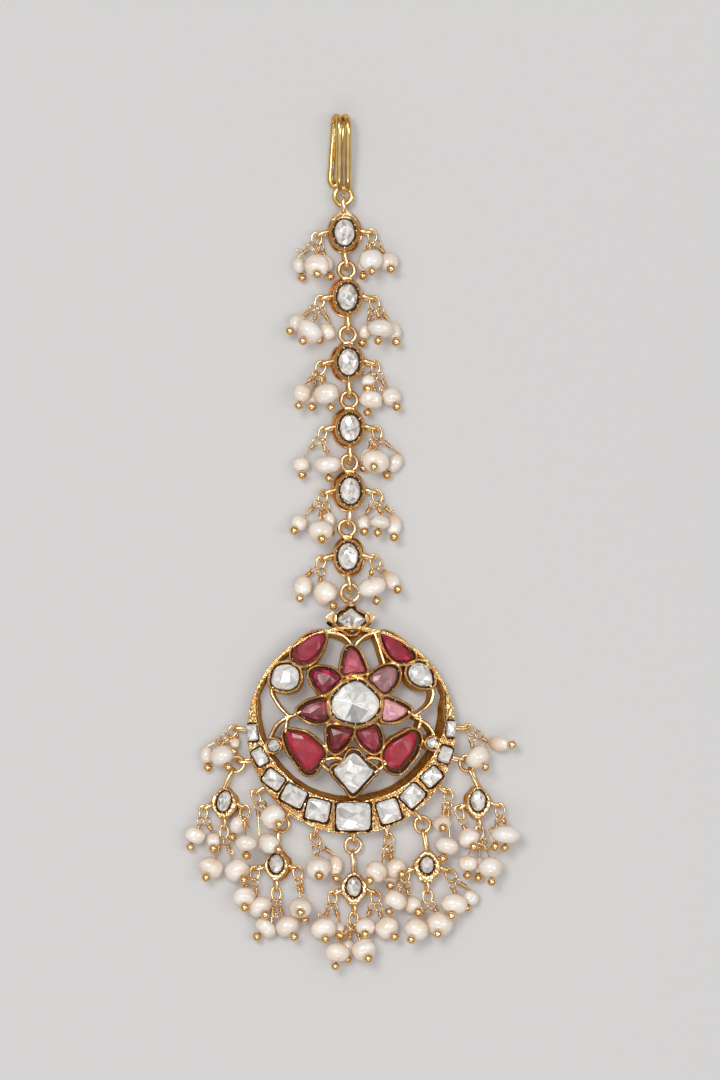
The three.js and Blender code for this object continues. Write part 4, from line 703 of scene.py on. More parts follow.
def crescent(shape):
    """The crescent and the band that closes the circle, as rows from the inner edge to the outer one."""
    cols, rows = 900, 40
    th = np.arange(cols) / cols * 2 * math.pi
    s = np.sin(th)
    d = INNER_Y - PY
    inner = d * s + np.sqrt(np.maximum(0, d * d * s * s - d * d + INNER ** 2))
    inner = np.minimum(inner, OUTER - BAND)
    outer = OUTER + wobble(cols, 5, 0.05, (7, 13, 19, 31, 43)) + 0.03 * np.abs(np.sin(23 * th))
    inner = inner + wobble(cols, 6, 0.05, (5, 9, 17, 29))
    k = np.linspace(0, 1, rows)
    k = 0.5 - 0.5 * np.cos(math.pi * k) * (0.35) - 0.65 * (0.5 - k)
    k = (k - k[0]) / (k[-1] - k[0])
    rad = inner[None, :] + (outer - inner)[None, :] * k[:, None]
    x, y = PX + rad * np.cos(th)[None, :], PY + rad * np.sin(th)[None, :]
    ds = np.full(x.shape, 9.0)
    for r in PAVE:
        t = r["turn"] * RAD
        u = (x - r["x"]) * math.cos(t) + (y - r["y"]) * math.sin(t)
        v = -(x - r["x"]) * math.sin(t) + (y - r["y"]) * math.cos(t)
        c = 0.35
        qx, qy = np.abs(u) - (r["wide"] / 2 - c), np.abs(v) - (r["tall"] / 2 - c)
        ds = np.minimum(ds, np.hypot(np.maximum(qx, 0), np.maximum(qy, 0)) + np.minimum(np.maximum(qx, qy), 0) - c)
    def step(a, lo, hi):
        q = np.clip((a - lo) / (hi - lo), 0, 1)
        return q * q * (3 - 2 * q)

    ripple = 0.5 + 0.5 * np.sin(x * 5.1 + np.sin(y * 3.7) * 1.7) * np.sin(y * 4.7 + np.sin(x * 2.9) * 1.4)
    fine = np.sin(x * 11.3 + 2 * np.sin(y * 7.1)) * np.sin(y * 12.7 + 2 * np.sin(x * 8.3))
    edge = 0.16 + 0.13 * (ripple - 0.5) + 0.03 * fine
    thin = step(np.minimum(outer[None, :] - rad, rad - inner[None, :]), 0.22, 0.4)
    edge = edge * (0.35 + 0.65 * thin)
    do, di = outer[None, :] - rad, rad - inner[None, :]
    near = np.minimum(do, di)

    wall = step(ds, edge - 0.05, edge + 0.07)
    crest = np.exp(-((ds - edge - 0.17) / 0.12) ** 2)
    paved = np.exp(-((s + 0.75) / 0.62) ** 6)[None, :]
    groove = step(ds - edge, 0.26, 0.4) * step(near, 0.26, 0.4) * paved
    z = RIM - 0.6 + wall * (0.5 + 0.05 * ripple + 0.03 * fine) + 0.15 * crest * wall - 0.1 * groove
    side = step(near, 0.0, 0.16)
    z = np.where(ds > 0.1, z - 0.16 * (1 - side) ** 1.5 + 0.11 * np.exp(-((near - 0.2) / 0.12) ** 2), z)
    horn = np.exp(-((s - 0.17) / 0.30) ** 4)[None, :] * step(near, 0.0, 0.3)
    arc = th * OUTER
    grain = np.abs(np.sin(arc[None, :] * 3.3 + rad * 2.1)) * np.abs(np.sin(arc[None, :] * 1.9 - rad * 3.7 + 1.0))
    z = z + horn * (grain - 0.35) * 0.22
    # Painted shade, with some patina in the recesses: dark round the stones, in the crevices between the horns'
    # granules and in the grooves.
    dark = np.clip(1 - wall, 0, 1) * 0.98 + 0.12 * horn * (grain < 0.12) + 0.13 * groove
    verts, dk = [], []
    lowest = np.column_stack([PX + (inner + 0.15) * np.cos(th), PY + (inner + 0.15) * np.sin(th)])
    on_inner = np.column_stack([PX + inner * np.cos(th), PY + inner * np.sin(th)])
    on_outer = np.column_stack([PX + outer * np.cos(th), PY + outer * np.sin(th)])
    foot = np.where(inner < OUTER - BAND - 0.3, 0.0, FLOOR)
    foot = (foot + np.roll(foot, 3) + np.roll(foot, -3) + np.roll(foot, 6) + np.roll(foot, -6)) / 5
    # The inner and outer walls are painted darker as shade.
    rings = [(lowest, foot, 0.2), (on_inner, foot + 0.12, 0.36), (on_inner, 0.5 * (foot + RIM), 0.32), (on_inner, np.full(cols, RIM - 0.45), 0.22)]
    for xy, h, g in rings:
        verts.append(np.column_stack([xy, h]))
        dk.append(np.full(cols, g))
    for r in range(rows):
        verts.append(np.column_stack([x[r], y[r], z[r]]))
        dk.append(dark[r])
    for xy, h, g in [(on_outer, np.full(cols, RIM - 0.35), 0.1), (on_outer, 0.5 * (foot + RIM), 0.2), (on_outer, foot + 0.12, 0.3), (PX + (on_outer - [PX, PY]) * 0.99 + [0, 0], foot, 0.3)]:
        if xy is not on_outer:
            xy = np.column_stack([PX + (outer - 0.15) * np.cos(th), PY + (outer - 0.15) * np.sin(th)])
        verts.append(np.column_stack([xy, h]))
        dk.append(np.full(cols, g))
    m = len(verts)
    faces = []
    for r in range(m):
        n = (r + 1) % m
        for c in range(cols):
            e = (c + 1) % cols
            faces.append([r * cols + c, n * cols + c, n * cols + e, r * cols + e])
    v = np.vstack(verts)
    flat = v[:, 2] < 0.02
    v = dome(v)
    v[flat, 2] = 0
    shape.add(v, faces, np.concatenate(dk))


def strip(shape, line, width, seed):
    """Openwork strip standing on edge, its top rounded and its sides painted darker as shade."""
    p = smooth(line, 9)
    t = np.gradient(p, axis=0)
    t /= np.linalg.norm(t, axis=1)[:, None]
    nor = np.column_stack([-t[:, 1], t[:, 0]])
    n = len(p)
    w = width / 2 + wobble(n * 2, seed, 0.03, (2, 3, 5))[:n]
    z = RIM - 0.12 + wobble(n * 2, seed + 1, 0.04, (2, 4, 7))[:n]
    section = [(-0.8, FLOOR - z, 0.2), (-1.0, FLOOR - z + 0.1, 0.3), (-1.0, -0.4 + 0 * z, 0.2), (-0.9, -0.14 + 0 * z, 0.05), (-0.5, 0.03 + 0 * z, 0.0), (0.0, 0.08 + 0 * z, 0.0), (0.5, 0.03 + 0 * z, 0.0), (0.9, -0.14 + 0 * z, 0.05), (1.0, -0.4 + 0 * z, 0.2), (1.0, FLOOR - z + 0.1, 0.3), (0.8, FLOOR - z, 0.2)]
    m = len(section)
    verts = np.zeros((n, m, 3))
    dark = np.zeros((n, m))
    for k, (side, h, g) in enumerate(section):
        verts[:, k, :2] = p + nor * (side * w)[:, None]
        verts[:, k, 2] = z + h
        dark[:, k] = g
    faces = [[i * m + k, (i + 1) * m + k, (i + 1) * m + (k + 1) % m, i * m + (k + 1) % m] for i in range(n - 1) for k in range(m)]
    faces += [list(range(m)), [(n - 1) * m + k for k in range(m)][::-1]]
    shape.add(dome(verts.reshape(-1, 3)), faces, dark.ravel())


body = Shape()
crescent(body)
hangers = {}
for k, e in enumerate(FRAME_EYES):
    drop = e["hangs"].startswith("drop")
    end = eye(body, [e["x"], e["y"]], e["turn"], 0.3 if drop else 0.27, 0.72 if drop else 0.68, 0.15, MID, 1.0, tilt=14 if k % 2 else -14, seed=k)
    hangers[e["hangs"]] = end
    if not drop:
        bunch_eyes[e["hangs"]] = end
loop(body, [-0.36, -7.33, MID + 0.3], 1.27, 0.32, steps=40, sides=11, rough=0.06, seed=77)
tube(body, [[-0.36, -8.3, 1.5], [-0.33, -8.7, 1.7], [-0.3, -9.1, 1.9]], [0.42, 0.46, 0.5], sides=12)
make("pendant_crescent", body, WORKED, "gold", "pendant_frame")

cells = Shape()
rubies, clears, outlines = {}, {}, {}
for name, at, r in (("round_left", (-11.25, -29.1), 1.7), ("round_right", (11.45, -28.75), 1.6)):
    OUTLINES[name] = rounded(*at, r, r, count=24).tolist()
for k, r in enumerate(LEAVES + ROUNDS):
    line = even(smooth(np.array(OUTLINES[r["name"]])[::-1] if r["name"] not in ("round_left", "round_right") else np.array(OUTLINES[r["name"]]), 8, True), 120)
    if np.sum(line[:, 0] * np.roll(line[:, 1], -1) - np.roll(line[:, 0], -1) * line[:, 1]) < 0:
        line = line[::-1].copy()
    outlines[r["name"]] = line
    small = r["name"].startswith("round")
    gap = margin(line, r["edge"], r["more"], r["side"])
    setting(cells, line, gap, r["wall"], RIM, 0.6, FLOOR, 100 + 7 * k, dome, 0.012 if small or r["name"].startswith("petal") else 0.03)
    if not small:
        count = {"center_stone": 13, "lozenge_bottom": 9, "lozenge_top": 5}.get(r["name"], 8 if r["name"].startswith("leaf") else 4)
        big = 0.17 if r["name"] == "center_stone" else 0.09
        for p, nor, size, z in claws(line, 300 + k, count, big, float(gap.mean()) + 0.02, RIM):
            burr(cells, p, nor, size, z, dome)
# Points beside the top lozenge, their walls painted darker as shade.
for tip in TIPS:
    shell(cells, even(smooth(tip, 8, True), 40), [(-0.3, RIM - 0.02, 0.0), (-0.14, RIM, 0.0), (0.0, RIM - 0.12, 0.0), (0.04, RIM - 0.4, 0.3), (0.0, FLOOR, 0.5), (-0.2, FLOOR, 0.4)], dome)
for k, line in enumerate(STRIPS):
    strip(cells, line, 0.6, 600 + k)
make("pendant_cells", cells, WORKED, "gold")

for k, r in enumerate(LEAVES):
    cut = Shape()
    line = outlines[r["name"]]
    if r["r"]:
        flat_top = r["name"].startswith("leaf")
        rows = ((0.86, 12, 0.7), (0.72, 7, 1.0)) if flat_top else ((0.84, 10, 0.6), (0.5, 6, 0.95))
        middle = np.array([*line.mean(0), RIM])
        lift = dome([middle])[0] - middle
        seat = (lambda v, up=lift: v + up) if r["name"] == "leaf_upper_left" else dome
        stone(cut, line, RIM - 0.28, 0.34 if flat_top else 0.42, 900 + k, red(r["r"], r["g"], r["b"], 0.1 if flat_top else 0.26, r["glint"]), seat, rows, deep=0.3)
        make("cut_" + r["name"], cut, RUBY, "red_stone", r["name"], crease=0)
    else:
        stone(cut, line, RIM - 0.25, 0.5, 900 + k, silver(1.0, 0.55, 0.25), dome, ((0.8, 9, 0.6), (0.45, 5, 0.95)), deep=0.3)
        make("cut_" + r["name"], cut, CLEAR, "clear_stone", r["name"], crease=0)


CENTRE_FACETS = table("start end near far", [
    # bearings from the stone's point, and the painted reflection, as a grey level, of the facets there: near the point
    # and out at the edge
    (0, 40, 1.0, 0.86), (40, 100, 0.80, 0.66), (100, 150, 0.76, 0.74), (150, 195, 0.98, 0.96), (195, 240, 1.0, 0.9),
    (240, 296, 0.34, 0.80), (296, 322, 0.46, 0.90), (322, 360, 1.0, 1.0),
])


def centre_shade(nor, at, rng):
    """The rose-cut middle stone in painted reflections: pale all over, with grey facets below its point, and steep
    facets painted darker as shade.
    """
    a, r = math.degrees(math.atan2(at[1] - POINT[1], at[0] - POINT[0])) % 360, math.hypot(at[0] - POINT[0], at[1] - POINT[1])
    g = next(f["near"] if r < 1.75 else f["far"] for f in CENTRE_FACETS if f["start"] <= a < f["end"] or f["end"] == 360)
    if nor[2] < 0.5:
        g *= 0.8
    g *= rng.uniform(0.95, 1.03)
    return (g, g * 0.975, g * 0.94)


POINT = (-0.45, -0.1)


for k, r in enumerate(ROUNDS):
    cut, line = Shape(), outlines[r["name"]]
    if r["name"] == "center_stone":
        stone(cut, line, RIM - 0.22, 0.8, 951, centre_shade, dome, ((0.9, 16, 0.42), (0.6, 9, 0.66)), peak=(*POINT, 1.12), deep=0.3)
    elif r["name"].startswith("round"):
        stone(cut, line, RIM - 0.2, 0.3, 960 + k, silver(0.8, 0.3, 0.5), dome, ((0.6, 6, 0.9),), deep=0.3)
    elif r["name"] == "lozenge_top":
        stone(cut, line, RIM - 0.25, 0.42, 970, silver(0.82, 0.2, 0.55, 0.1), dome, ((0.75, 8, 0.6), (0.4, 5, 1.0)), deep=0.3)
    else:
        stone(cut, line, RIM - 0.25, 0.6, 982, silver(1.0, 0.5, 0.3), dome, ((0.86, 8, 0.5), (0.5, 7, 0.8)), peak=(0.1, -0.1, 1.05), deep=0.3)
    make("cut_" + r["name"], cut, CLEAR, "clear_stone", r["name"], crease=0)
pave = Shape()
for k, r in enumerate(PAVE):
    line = rounded(r["x"], r["y"], r["wide"], r["tall"], r["turn"], 6.0)
    stone(pave, line, RIM - 0.22, 0.44, 1000 + 3 * k, silver(1.0, 0.42, 0.3, 0.01), dome, ((0.8, 8, 0.6), (0.35, 4, 1.0)), deep=0.36)
make("crescent_stones", pave, CLEAR, "clear_stone", crease=0)

# ---- pearls -------------------------------------------------------------------------------------
PEARLS = table("bunch x y across along aim ball", [
    ("link_pearls_1_left", -5.1, 39.5, 3.6, 3.3, -87, 1.3), ("link_pearls_1_left", -7.6, 39.5, 2.0, 2.4, -77, 1.9), ("link_pearls_1_left", -3.7, 39.8, 2.1, 2.6, -75, 2.1),
    ("link_pearls_1_right", 2.6, 40.2, 3.4, 3.0, -82, 1.6), ("link_pearls_1_right", 5.1, 40.1, 2.9, 2.9, -69, 1.2), ("link_pearls_1_right", 1.7, 39.8, 2.0, 2.4, -96, 1.7),
    ("link_pearls_2_left", -6.2, 30.0, 4.0, 2.9, -124, 1.6), ("link_pearls_2_left", -7.8, 31.4, 2.3, 2.9, -132, 1.7), ("link_pearls_2_left", -3.6, 30.0, 2.6, 2.1, -136, 2.5),
    ("link_pearls_2_right", 3.9, 30.4, 4.0, 2.6, -97, 1.7), ("link_pearls_2_right", 5.8, 30.2, 2.3, 2.9, -73, 1.7), ("link_pearls_2_right", 1.8, 30.0, 1.7, 2.0, -104, 1.7),
    ("link_pearls_3_left", -3.8, 21.1, 3.9, 3.0, -70, 2.1), ("link_pearls_3_left", -7.2, 21.2, 2.6, 2.7, -106, 1.8), ("link_pearls_3_left", -5.8, 20.5, 2.3, 2.3, -90, 1.2),
    ("link_pearls_3_right", 2.6, 20.3, 3.4, 2.6, -103, 1.9), ("link_pearls_3_right", 5.5, 20.8, 2.9, 2.7, -60, 1.7), ("link_pearls_3_right", 2.2, 23.0, 2.0, 2.0, -90, 1.1),
    ("link_pearls_4_left", -3.6, 11.0, 4.0, 2.7, -83, 1.9), ("link_pearls_4_left", -7.3, 11.0, 2.6, 2.0, -87, 1.4),
    ("link_pearls_4_right", 3.2, 11.5, 4.0, 3.3, -100, 0.8), ("link_pearls_4_right", 6.1, 11.2, 2.0, 2.9, -125, 2.2), ("link_pearls_4_right", 2.1, 12.2, 2.0, 2.3, -106, 2.1),
    ("link_pearls_5_left", -4.6, 1.6, 3.7, 3.4, -79, 1.2), ("link_pearls_5_left", -7.6, 2.7, 2.4, 2.4, -124, 1.3), ("link_pearls_5_left", -3.3, 3.1, 1.7, 2.3, -85, 1.9),
    ("link_pearls_5_right", 3.9, 2.8, 2.9, 2.0, -101, 1.5), ("link_pearls_5_right", 5.9, 2.4, 2.3, 3.3, -88, 1.7), ("link_pearls_5_right", 1.7, 2.8, 2.0, 2.6, -90, 1.3),
    ("link_pearls_6_left", -3.9, -7.3, 3.4, 3.4, -59, 2.1), ("link_pearls_6_left", -7.1, -6.3, 2.7, 3.1, -104, 1.8),
    ("link_pearls_6_right", 2.8, -6.5, 4.3, 2.9, -71, 2.0), ("link_pearls_6_right", 5.5, -5.5, 2.3, 4.0, -52, 1.6),
    ("crescent_pearls_1", -18.6, -30.6, 3.6, 2.9, -61, 1.8), ("crescent_pearls_1", -20.8, -30.5, 2.0, 2.4, -87, 2.4), ("crescent_pearls_1", -16.8, -28.7, 1.5, 2.0, -100, 1.3),
    ("crescent_pearls_2", -11.4, -39.2, 3.7, 3.1, -49, 1.4), ("crescent_pearls_2", -12.1, -43.0, 2.9, 3.9, -29, 1.8),
    ("crescent_pearls_3", -4.9, -46.6, 3.7, 4.0, -82, 1.0), ("crescent_pearls_3", -2.4, -46.2, 2.0, 2.9, -88, 1.9),
    ("crescent_pearls_4", 3.4, -47.1, 3.4, 3.0, -128, 1.5), ("crescent_pearls_4", 6.2, -46.6, 3.3, 2.6, -45, 1.2), ("crescent_pearls_4", 5.4, -48.2, 2.0, 1.6, -90, 0.9),
    ("crescent_pearls_5", 12.8, -40.2, 2.9, 4.3, -80, 0.6), ("crescent_pearls_5", 13.5, -43.5, 3.7, 2.7, -108, 1.8),
    ("crescent_pearls_6", 17.9, -30.8, 3.7, 2.9, -50, 1.7), ("crescent_pearls_6", 20.9, -28.9, 2.1, 3.6, -2, 1.9),
    ("drop_1_left", -22.5, -42.0, 3.1, 2.4, -113, 1.9), ("drop_1_left", -19.9, -42.6, 2.0, 2.4, -90, 1.2),
    ("drop_1_right", -16.4, -40.5, 2.4, 2.6, -113, 1.9), ("drop_1_right", -15.2, -43.0, 3.1, 2.4, -88, 1.9),
    ("drop_1_foot", -20.2, -46.6, 3.7, 2.7, -118, 1.5), ("drop_1_foot", -16.5, -46.9, 3.7, 3.1, -54, 1.7),
    ("drop_2_left", -15.5, -50.7, 3.4, 2.7, -85, 1.5), ("drop_2_left", -13.2, -52.2, 3.7, 2.6, -55, 1.3),
    ("drop_2_foot", -12.4, -55.2, 3.4, 2.4, -135, 1.8), ("drop_2_foot", -9.3, -54.9, 3.7, 2.9, -58, 1.8),
    ("drop_2_right", -7.4, -52.2, 3.6, 3.7, -90, 0.6), ("drop_2_right", -6.8, -52.3, 2.3, 2.3, -90, 2.0),
    ("drop_3_left", -4.1, -55.3, 4.0, 2.9, -81, 1.4), ("drop_3_left", -1.8, -55.2, 1.4, 2.0, -90, 1.1),
    ("drop_3_foot", -2.1, -58.6, 3.7, 2.9, -100, 2.0), ("drop_3_foot", 1.6, -58.2, 3.7, 3.0, -62, 1.4), ("drop_3_foot", -0.6, -58.0, 2.3, 2.3, -94, 2.0),
    ("drop_3_right", 4.9, -55.1, 3.6, 3.1, -50, 1.7), ("drop_3_right", 1.8, -55.0, 2.9, 2.9, -90, 1.0),
    ("drop_4_left", 6.1, -51.2, 3.4, 2.7, -119, 1.8), ("drop_4_left", 8.6, -51.9, 2.6, 2.7, -50, 1.3),
    ("drop_4_foot", 9.1, -55.3, 3.6, 3.1, -117, 1.6), ("drop_4_foot", 12.4, -54.6, 4.0, 3.4, -99, 1.4),
    ("drop_4_right", 14.5, -51.7, 3.9, 2.9, -102, 1.7), ("drop_4_right", 16.9, -50.9, 2.4, 2.0, -111, 2.4),
    ("drop_5_left", 16.6, -42.3, 3.3, 3.0, -60, 1.4),
    ("drop_5_foot", 16.5, -45.9, 2.9, 2.3, -92, 1.9), ("drop_5_foot", 19.7, -46.5, 3.6, 3.1, -84, 2.0), ("drop_5_foot", 18.1, -46.3, 2.0, 2.3, -92, 1.7),
    ("drop_5_right", 21.9, -41.8, 4.3, 2.6, -94, 2.1), ("drop_5_right", 20.4, -42.3, 2.0, 2.3, -90, 1.2),
])
DROPS = table("x y wide tall lean left right foot gem_wide gem_tall gem_turn", [
    (-18.4, -37.4, 3.5, 4.2, 0.4, 205, -22, 270, 1.9, 3.0, -15),
    (-10.95, -46.3, 3.3, 4.1, 0.6, 195, -12, 270, 2.0, 2.7, 0),
    (0.2, -49.6, 3.6, 4.7, 0, 205, -22, 270, 2.1, 2.8, 0),
    (10.65, -46.5, 3.7, 4.5, 0, 200, -20, 272, 1.9, 2.4, 0),
    (18.0, -37.3, 3.4, 4.5, -0.4, 208, -15, 276, 2.1, 3.0, 0),
])
DEPTH, CLEAR_GAP, GRID = 0.84, 0.06, 8
FLAT = (
    [(l["x"], l["y"], l["wide"] / 2 + 0.3, l["tall"] / 2 + 0.2, BEZEL) for l in LINKS]
    + [(d["x"], d["y"], d["wide"] / 2 + 0.2, d["tall"] / 2 + 0.1, BEZEL) for d in DROPS]
    + [(l["x"] - 0.1, l["y"] + l["tall"] / 2 + RING_ABOVE, 1.55, 1.6, MID + 0.5) for l in LINKS[1:]]
    + [(l["x"] - 0.1, l["y"] + l["tall"] / 2 + RING_ABOVE + 0.6, 0.45, 1.6, MID + 1.55) for l in LINKS[1:]]
    + [(hangers[f"drop_{i + 1}"][0], hangers[f"drop_{i + 1}"][1] - 0.4, 1.4, 1.4, MID + 0.3) for i in range(5)]
)
STEPS = np.arange(-GRID, GRID + 1) / GRID
GX, GY = [g.ravel() for g in np.meshgrid(STEPS, STEPS, indexing="ij")]


def over_flat(x, y):
    top = np.zeros(x.shape)
    for fx, fy, a, b, z in FLAT:
        top = np.where(((x - fx) / a) ** 2 + ((y - fy) / b) ** 2 < 1, np.maximum(top, z), top)
    return np.where(np.hypot(x - PX, y - PY) < OUTER + 0.45, np.maximum(top, RIM), top)


def rise(p):
    return math.acos(min(1, p["ball"] / (p["along"] / 2 + 0.8 * BALL)))


def share_of(p, x, y):
    u = (x - p["x"]) * p["c"] + (y - p["y"]) * p["s"]
    v = -(x - p["x"]) * p["s"] + (y - p["y"]) * p["c"]
    return (u / (p["across"] / 2)) ** 2 + (v / (p["along"] / 2)) ** 2


layers = {}
for p in PEARLS:
    layers.setdefault(p["bunch"], []).append(p)
    p["layer"] = len(layers[p["bunch"]])
    t, up = (p["aim"] + 90) * RAD, rise(p)
    p["c"], p["s"] = math.cos(t), math.sin(t)
    p["h"] = math.hypot(p["along"] / 2 * math.sin(up), p["across"] / 2 * DEPTH * math.cos(up))
settled = []
for p in sorted(PEARLS, key=lambda q: -q["layer"]):
    z = p["h"] + 0.12
    reach = max(p["across"], p["along"]) / 2
    x, y = p["x"] + GX * reach, p["y"] + GY * reach
    mine = share_of(p, x, y)
    inside = mine < 1
    x, y, under = x[inside], y[inside], p["h"] * np.sqrt(1 - mine[inside])
    z = max(z, float((over_flat(x, y) + under).max()) + CLEAR_GAP)
    for q in settled:
        theirs = share_of(q, x, y)
        hit = theirs < 1
        if hit.any():
            z = max(z, float((q["z"] + q["h"] * np.sqrt(1 - theirs[hit]) + under[hit]).max()) + CLEAR_GAP)
    p["z"] = z
    settled.append(p)


def pearl(shape, wires, p, hold, seed):
    """One pearl, uneven as grown, its pin with the ball end, and the wrapped loop over it."""
    rng = random.Random(seed)
    a, b, up, aim = p["across"] / 2, p["along"] / 2, rise(p), p["aim"] * RAD
    axis = np.array([math.cos(up) * math.cos(aim), math.cos(up) * math.sin(aim), math.sin(up)])
    across = np.array([-math.sin(aim), math.cos(aim), 0])
    third = np.cross(across, axis)
    at = np.array([p["x"], p["y"], p["z"]])
    rows, cols = 22, 30
    waves = [(np.array([rng.gauss(0, 1) for _ in range(3)]) * rng.uniform(0.9, 2.2), rng.random() * 6.28, rng.uniform(0.008, 0.022)) for _ in range(6)]
    crease_at, crease_deep = rng.uniform(-0.35, 0.35), rng.choice([0, 0, 0.02, 0.04, 0.06])
    fat = rng.uniform(0.86, 1.0)
    verts = []
    for i in range(rows + 1):
        la = -math.pi / 2 + math.pi * i / rows
        for j in range(cols):
            lo = 2 * math.pi * j / cols
            d = np.array([math.cos(la) * math.cos(lo), math.sin(la), math.cos(la) * math.sin(lo)])
            e = np.sign(d) * np.abs(d) ** fat
            k = 1 + sum(s * math.sin(w.dot(d) + f) for w, f, s in waves)
            k -= crease_deep * math.exp(-((d[1] - crease_at - 0.1 * math.sin(lo)) / 0.2) ** 2)
            k -= 0.07 * math.exp(-((1 - abs(d[1])) / 0.02))
            verts.append(at + k * 0.985 * (across * a * e[0] + axis * b * e[1] + third * a * DEPTH * e[2]))
    v = np.array(verts)
    v[:, 2] = np.maximum(v[:, 2], 0.03)
    faces = []
    for i in range(rows):
        for j in range(cols):
            m = (j + 1) % cols
            q = [i * cols + j, (i + 1) * cols + j, (i + 1) * cols + m, i * cols + m]
            faces.append(q)
    g = rng.uniform(0.9, 1.0)
    tint = rng.choice([(1, 0.99, 0.97), (1, 0.97, 0.93), (0.99, 0.95, 0.90), (1, 0.94, 0.87), (0.97, 0.97, 0.96)])
    # The pole rows fold to a point, so their quads become triangles.
    ring0, last = v[:cols].mean(0), v[rows * cols:].mean(0)
    v = np.vstack([v[cols:rows * cols], ring0[None], last[None]])
    n = (rows - 1) * cols
    faces = [[x - cols for x in f] for f in faces[cols:(rows - 1) * cols]]
    for j in range(cols):
        m = (j + 1) % cols
        faces.append([n, j, m])
        faces.append([n + 1, n - cols + m, n - cols + j])
    # Painted shade and painted gold reflection: the lower side of each pearl and its sides are tinted warm brown.
    low = np.array([(v[f].mean(0) - at)[2] for f in faces]) / (DEPTH * max(a, b))
    warm = np.clip((0.8 - low) / 0.9, 0, 1)[:, None] ** 1.3
    shape.add(v, faces, 0.0, g * (np.array(tint) * (1 - warm) + np.array([0.84, 0.56, 0.33]) * warm))
    # The ball end: a drop of gold with a short neck, painted darker as shade on the neck side towards the pearl.
    profile = [(0.0, -0.86), (0.2, -0.84), (0.26, -0.74), (0.48, -0.6), (0.78, -0.42), (0.97, -0.1), (1.0, 0.12), (0.9, 0.45), (0.66, 0.74), (0.34, 0.93), (0.0, 1.0)]
    middle, r, n = at + axis * (b + 0.8 * BALL), BALL * rng.uniform(0.98, 1.1), 18
    ring = []
    for w, h in profile[1:-1]:
        for j in range(n):
            t = 2 * math.pi * j / n
            ring.append(middle + r * (w * (math.cos(t) * across + math.sin(t) * third) + h * axis))
    ring = np.array(ring + [middle + r * profile[0][1] * axis, middle + r * axis])
    m = len(profile) - 2
    faces = [[i * n + j, (i + 1) * n + j, (i + 1) * n + (j + 1) % n, i * n + (j + 1) % n] for i in range(m - 1) for j in range(n)]
    faces += [[m * n, j, (j + 1) % n] for j in range(n)] + [[m * n + 1, (m - 1) * n + (j + 1) % n, (m - 1) * n + j] for j in range(n)]
    dark = np.concatenate([np.full(n, 0.5), np.full(n, 0.4), np.zeros((m - 2) * n), [0.6, 0]])
    wires.add(ring, faces, dark)
    # Pin, wraps and loop.
    top = at - axis * b * 0.96
    hold = np.array(hold)
    way = unit(hold - top)
    gap = np.linalg.norm(hold - top)
    size = min(0.62, max(0.46, gap * 0.42))
    side = unit(np.cross(way, [0, 0, 1.0]))
    lift = unit(np.cross(side, way))
    lean = rng.uniform(25, 62) * RAD * rng.choice([-1, 1])
    across_loop = math.cos(lean) * side + math.sin(lean) * lift
    centre = hold - way * size * 0.72
    start = centre - way * size
    if start[2] < 0.3:
        start[2] = 0.3
    t = np.linspace(-math.pi / 2 - 0.1, 1.5 * math.pi + 0.5, 30)
    ringp = centre + size * (np.cos(t)[:, None] * across_loop + np.sin(t)[:, None] * way)
    tube(wires, ringp, PIN_WIRE, sides=7)
    foot = start - way * 0.02
    shaft = np.array([at - axis * b * 0.7, top, top * 0.55 + foot * 0.45, foot])
    shaft[:, 2] = np.maximum(shaft[:, 2], 0.2)
    tube(wires, smooth(shaft, 5), PIN_WIRE, sides=7)
    length = min(0.7, max(0.42, np.linalg.norm(foot - top) * 0.9))
    turns = max(2.5, length / 0.2)
    s = np.linspace(0, 1, int(14 * turns))
    f = 2 * math.pi * turns * s
    coil = foot - way * 0.05 - (way[None, :] * (length * s)[:, None]) + (0.22 + 0.03 * np.sin(3 * s))[:, None] * (np.cos(f)[:, None] * side + np.sin(f)[:, None] * lift)
    coil[:, 2] = np.maximum(coil[:, 2], 0.16)
    tube(wires, coil, 0.1, sides=6)
    if rng.random() < 0.45:
        swing = rng.choice([-1, 1])
        tail = [coil[-1], coil[-1] + side * swing * 0.45 + lift * 0.12, coil[-1] + side * swing * 0.75 - way * 0.25 + lift * 0.2, coil[-1] + side * swing * 0.55 - way * 0.5 + lift * 0.25, coil[-1] + side * swing * 0.3 - way * 0.35 + lift * 0.22]
        tube(wires, smooth(np.array(tail), 5), 0.09, sides=6)


def bunch(pearls_shape, wires, name, end, fused, seed):
    own = layers[name]
    middle = np.mean([[p["x"], p["y"]] for p in own], axis=0)
    way = math.atan2(middle[1] - end[1], middle[0] - end[0])
    hang = JUMP_R - EYE_WIRE - 0.18 + 0.12 if fused else JUMP_HANG
    centre = np.array([end[0] + math.cos(way) * hang, end[1] + math.sin(way) * hang, end[2]])
    rng = random.Random(seed)
    along, square = np.array([math.cos(way), math.sin(way), 0]), np.array([-math.sin(way), math.cos(way), 0])
    tilt = rng.uniform(-0.35, 0.35)
    narrow = rng.uniform(0.56, 0.74)
    loop(wires, centre, JUMP_R * narrow, JUMP_WIRE, a=square * math.cos(tilt) + np.array([0, 0, math.sin(tilt)]), b=along, long=1 / narrow, steps=36, sides=8, rough=0.02)
    for k, p in enumerate(own):
        bearing = math.atan2(p["y"] - centre[1], p["x"] - centre[0])
        off = (bearing - way + math.pi) % (2 * math.pi) - math.pi
        a = way + max(-0.9, min(0.9, off))
        hold = [centre[0] + math.cos(a) * JUMP_R, centre[1] + math.sin(a) * JUMP_R, centre[2]]
        pearl(pearls_shape, wires, p, hold, seed * 13 + k)


for k, (name, end) in enumerate(bunch_eyes.items()):
    beads, wires = Shape(), Shape()
    bunch(beads, wires, name, end, False, 2000 + k)
    make(name.replace("pearls", "beads"), beads, PEARL, "pearl", name, crease=0)
    make(name.replace("pearls", "wires"), wires, WIRED, "gold", crease=0)

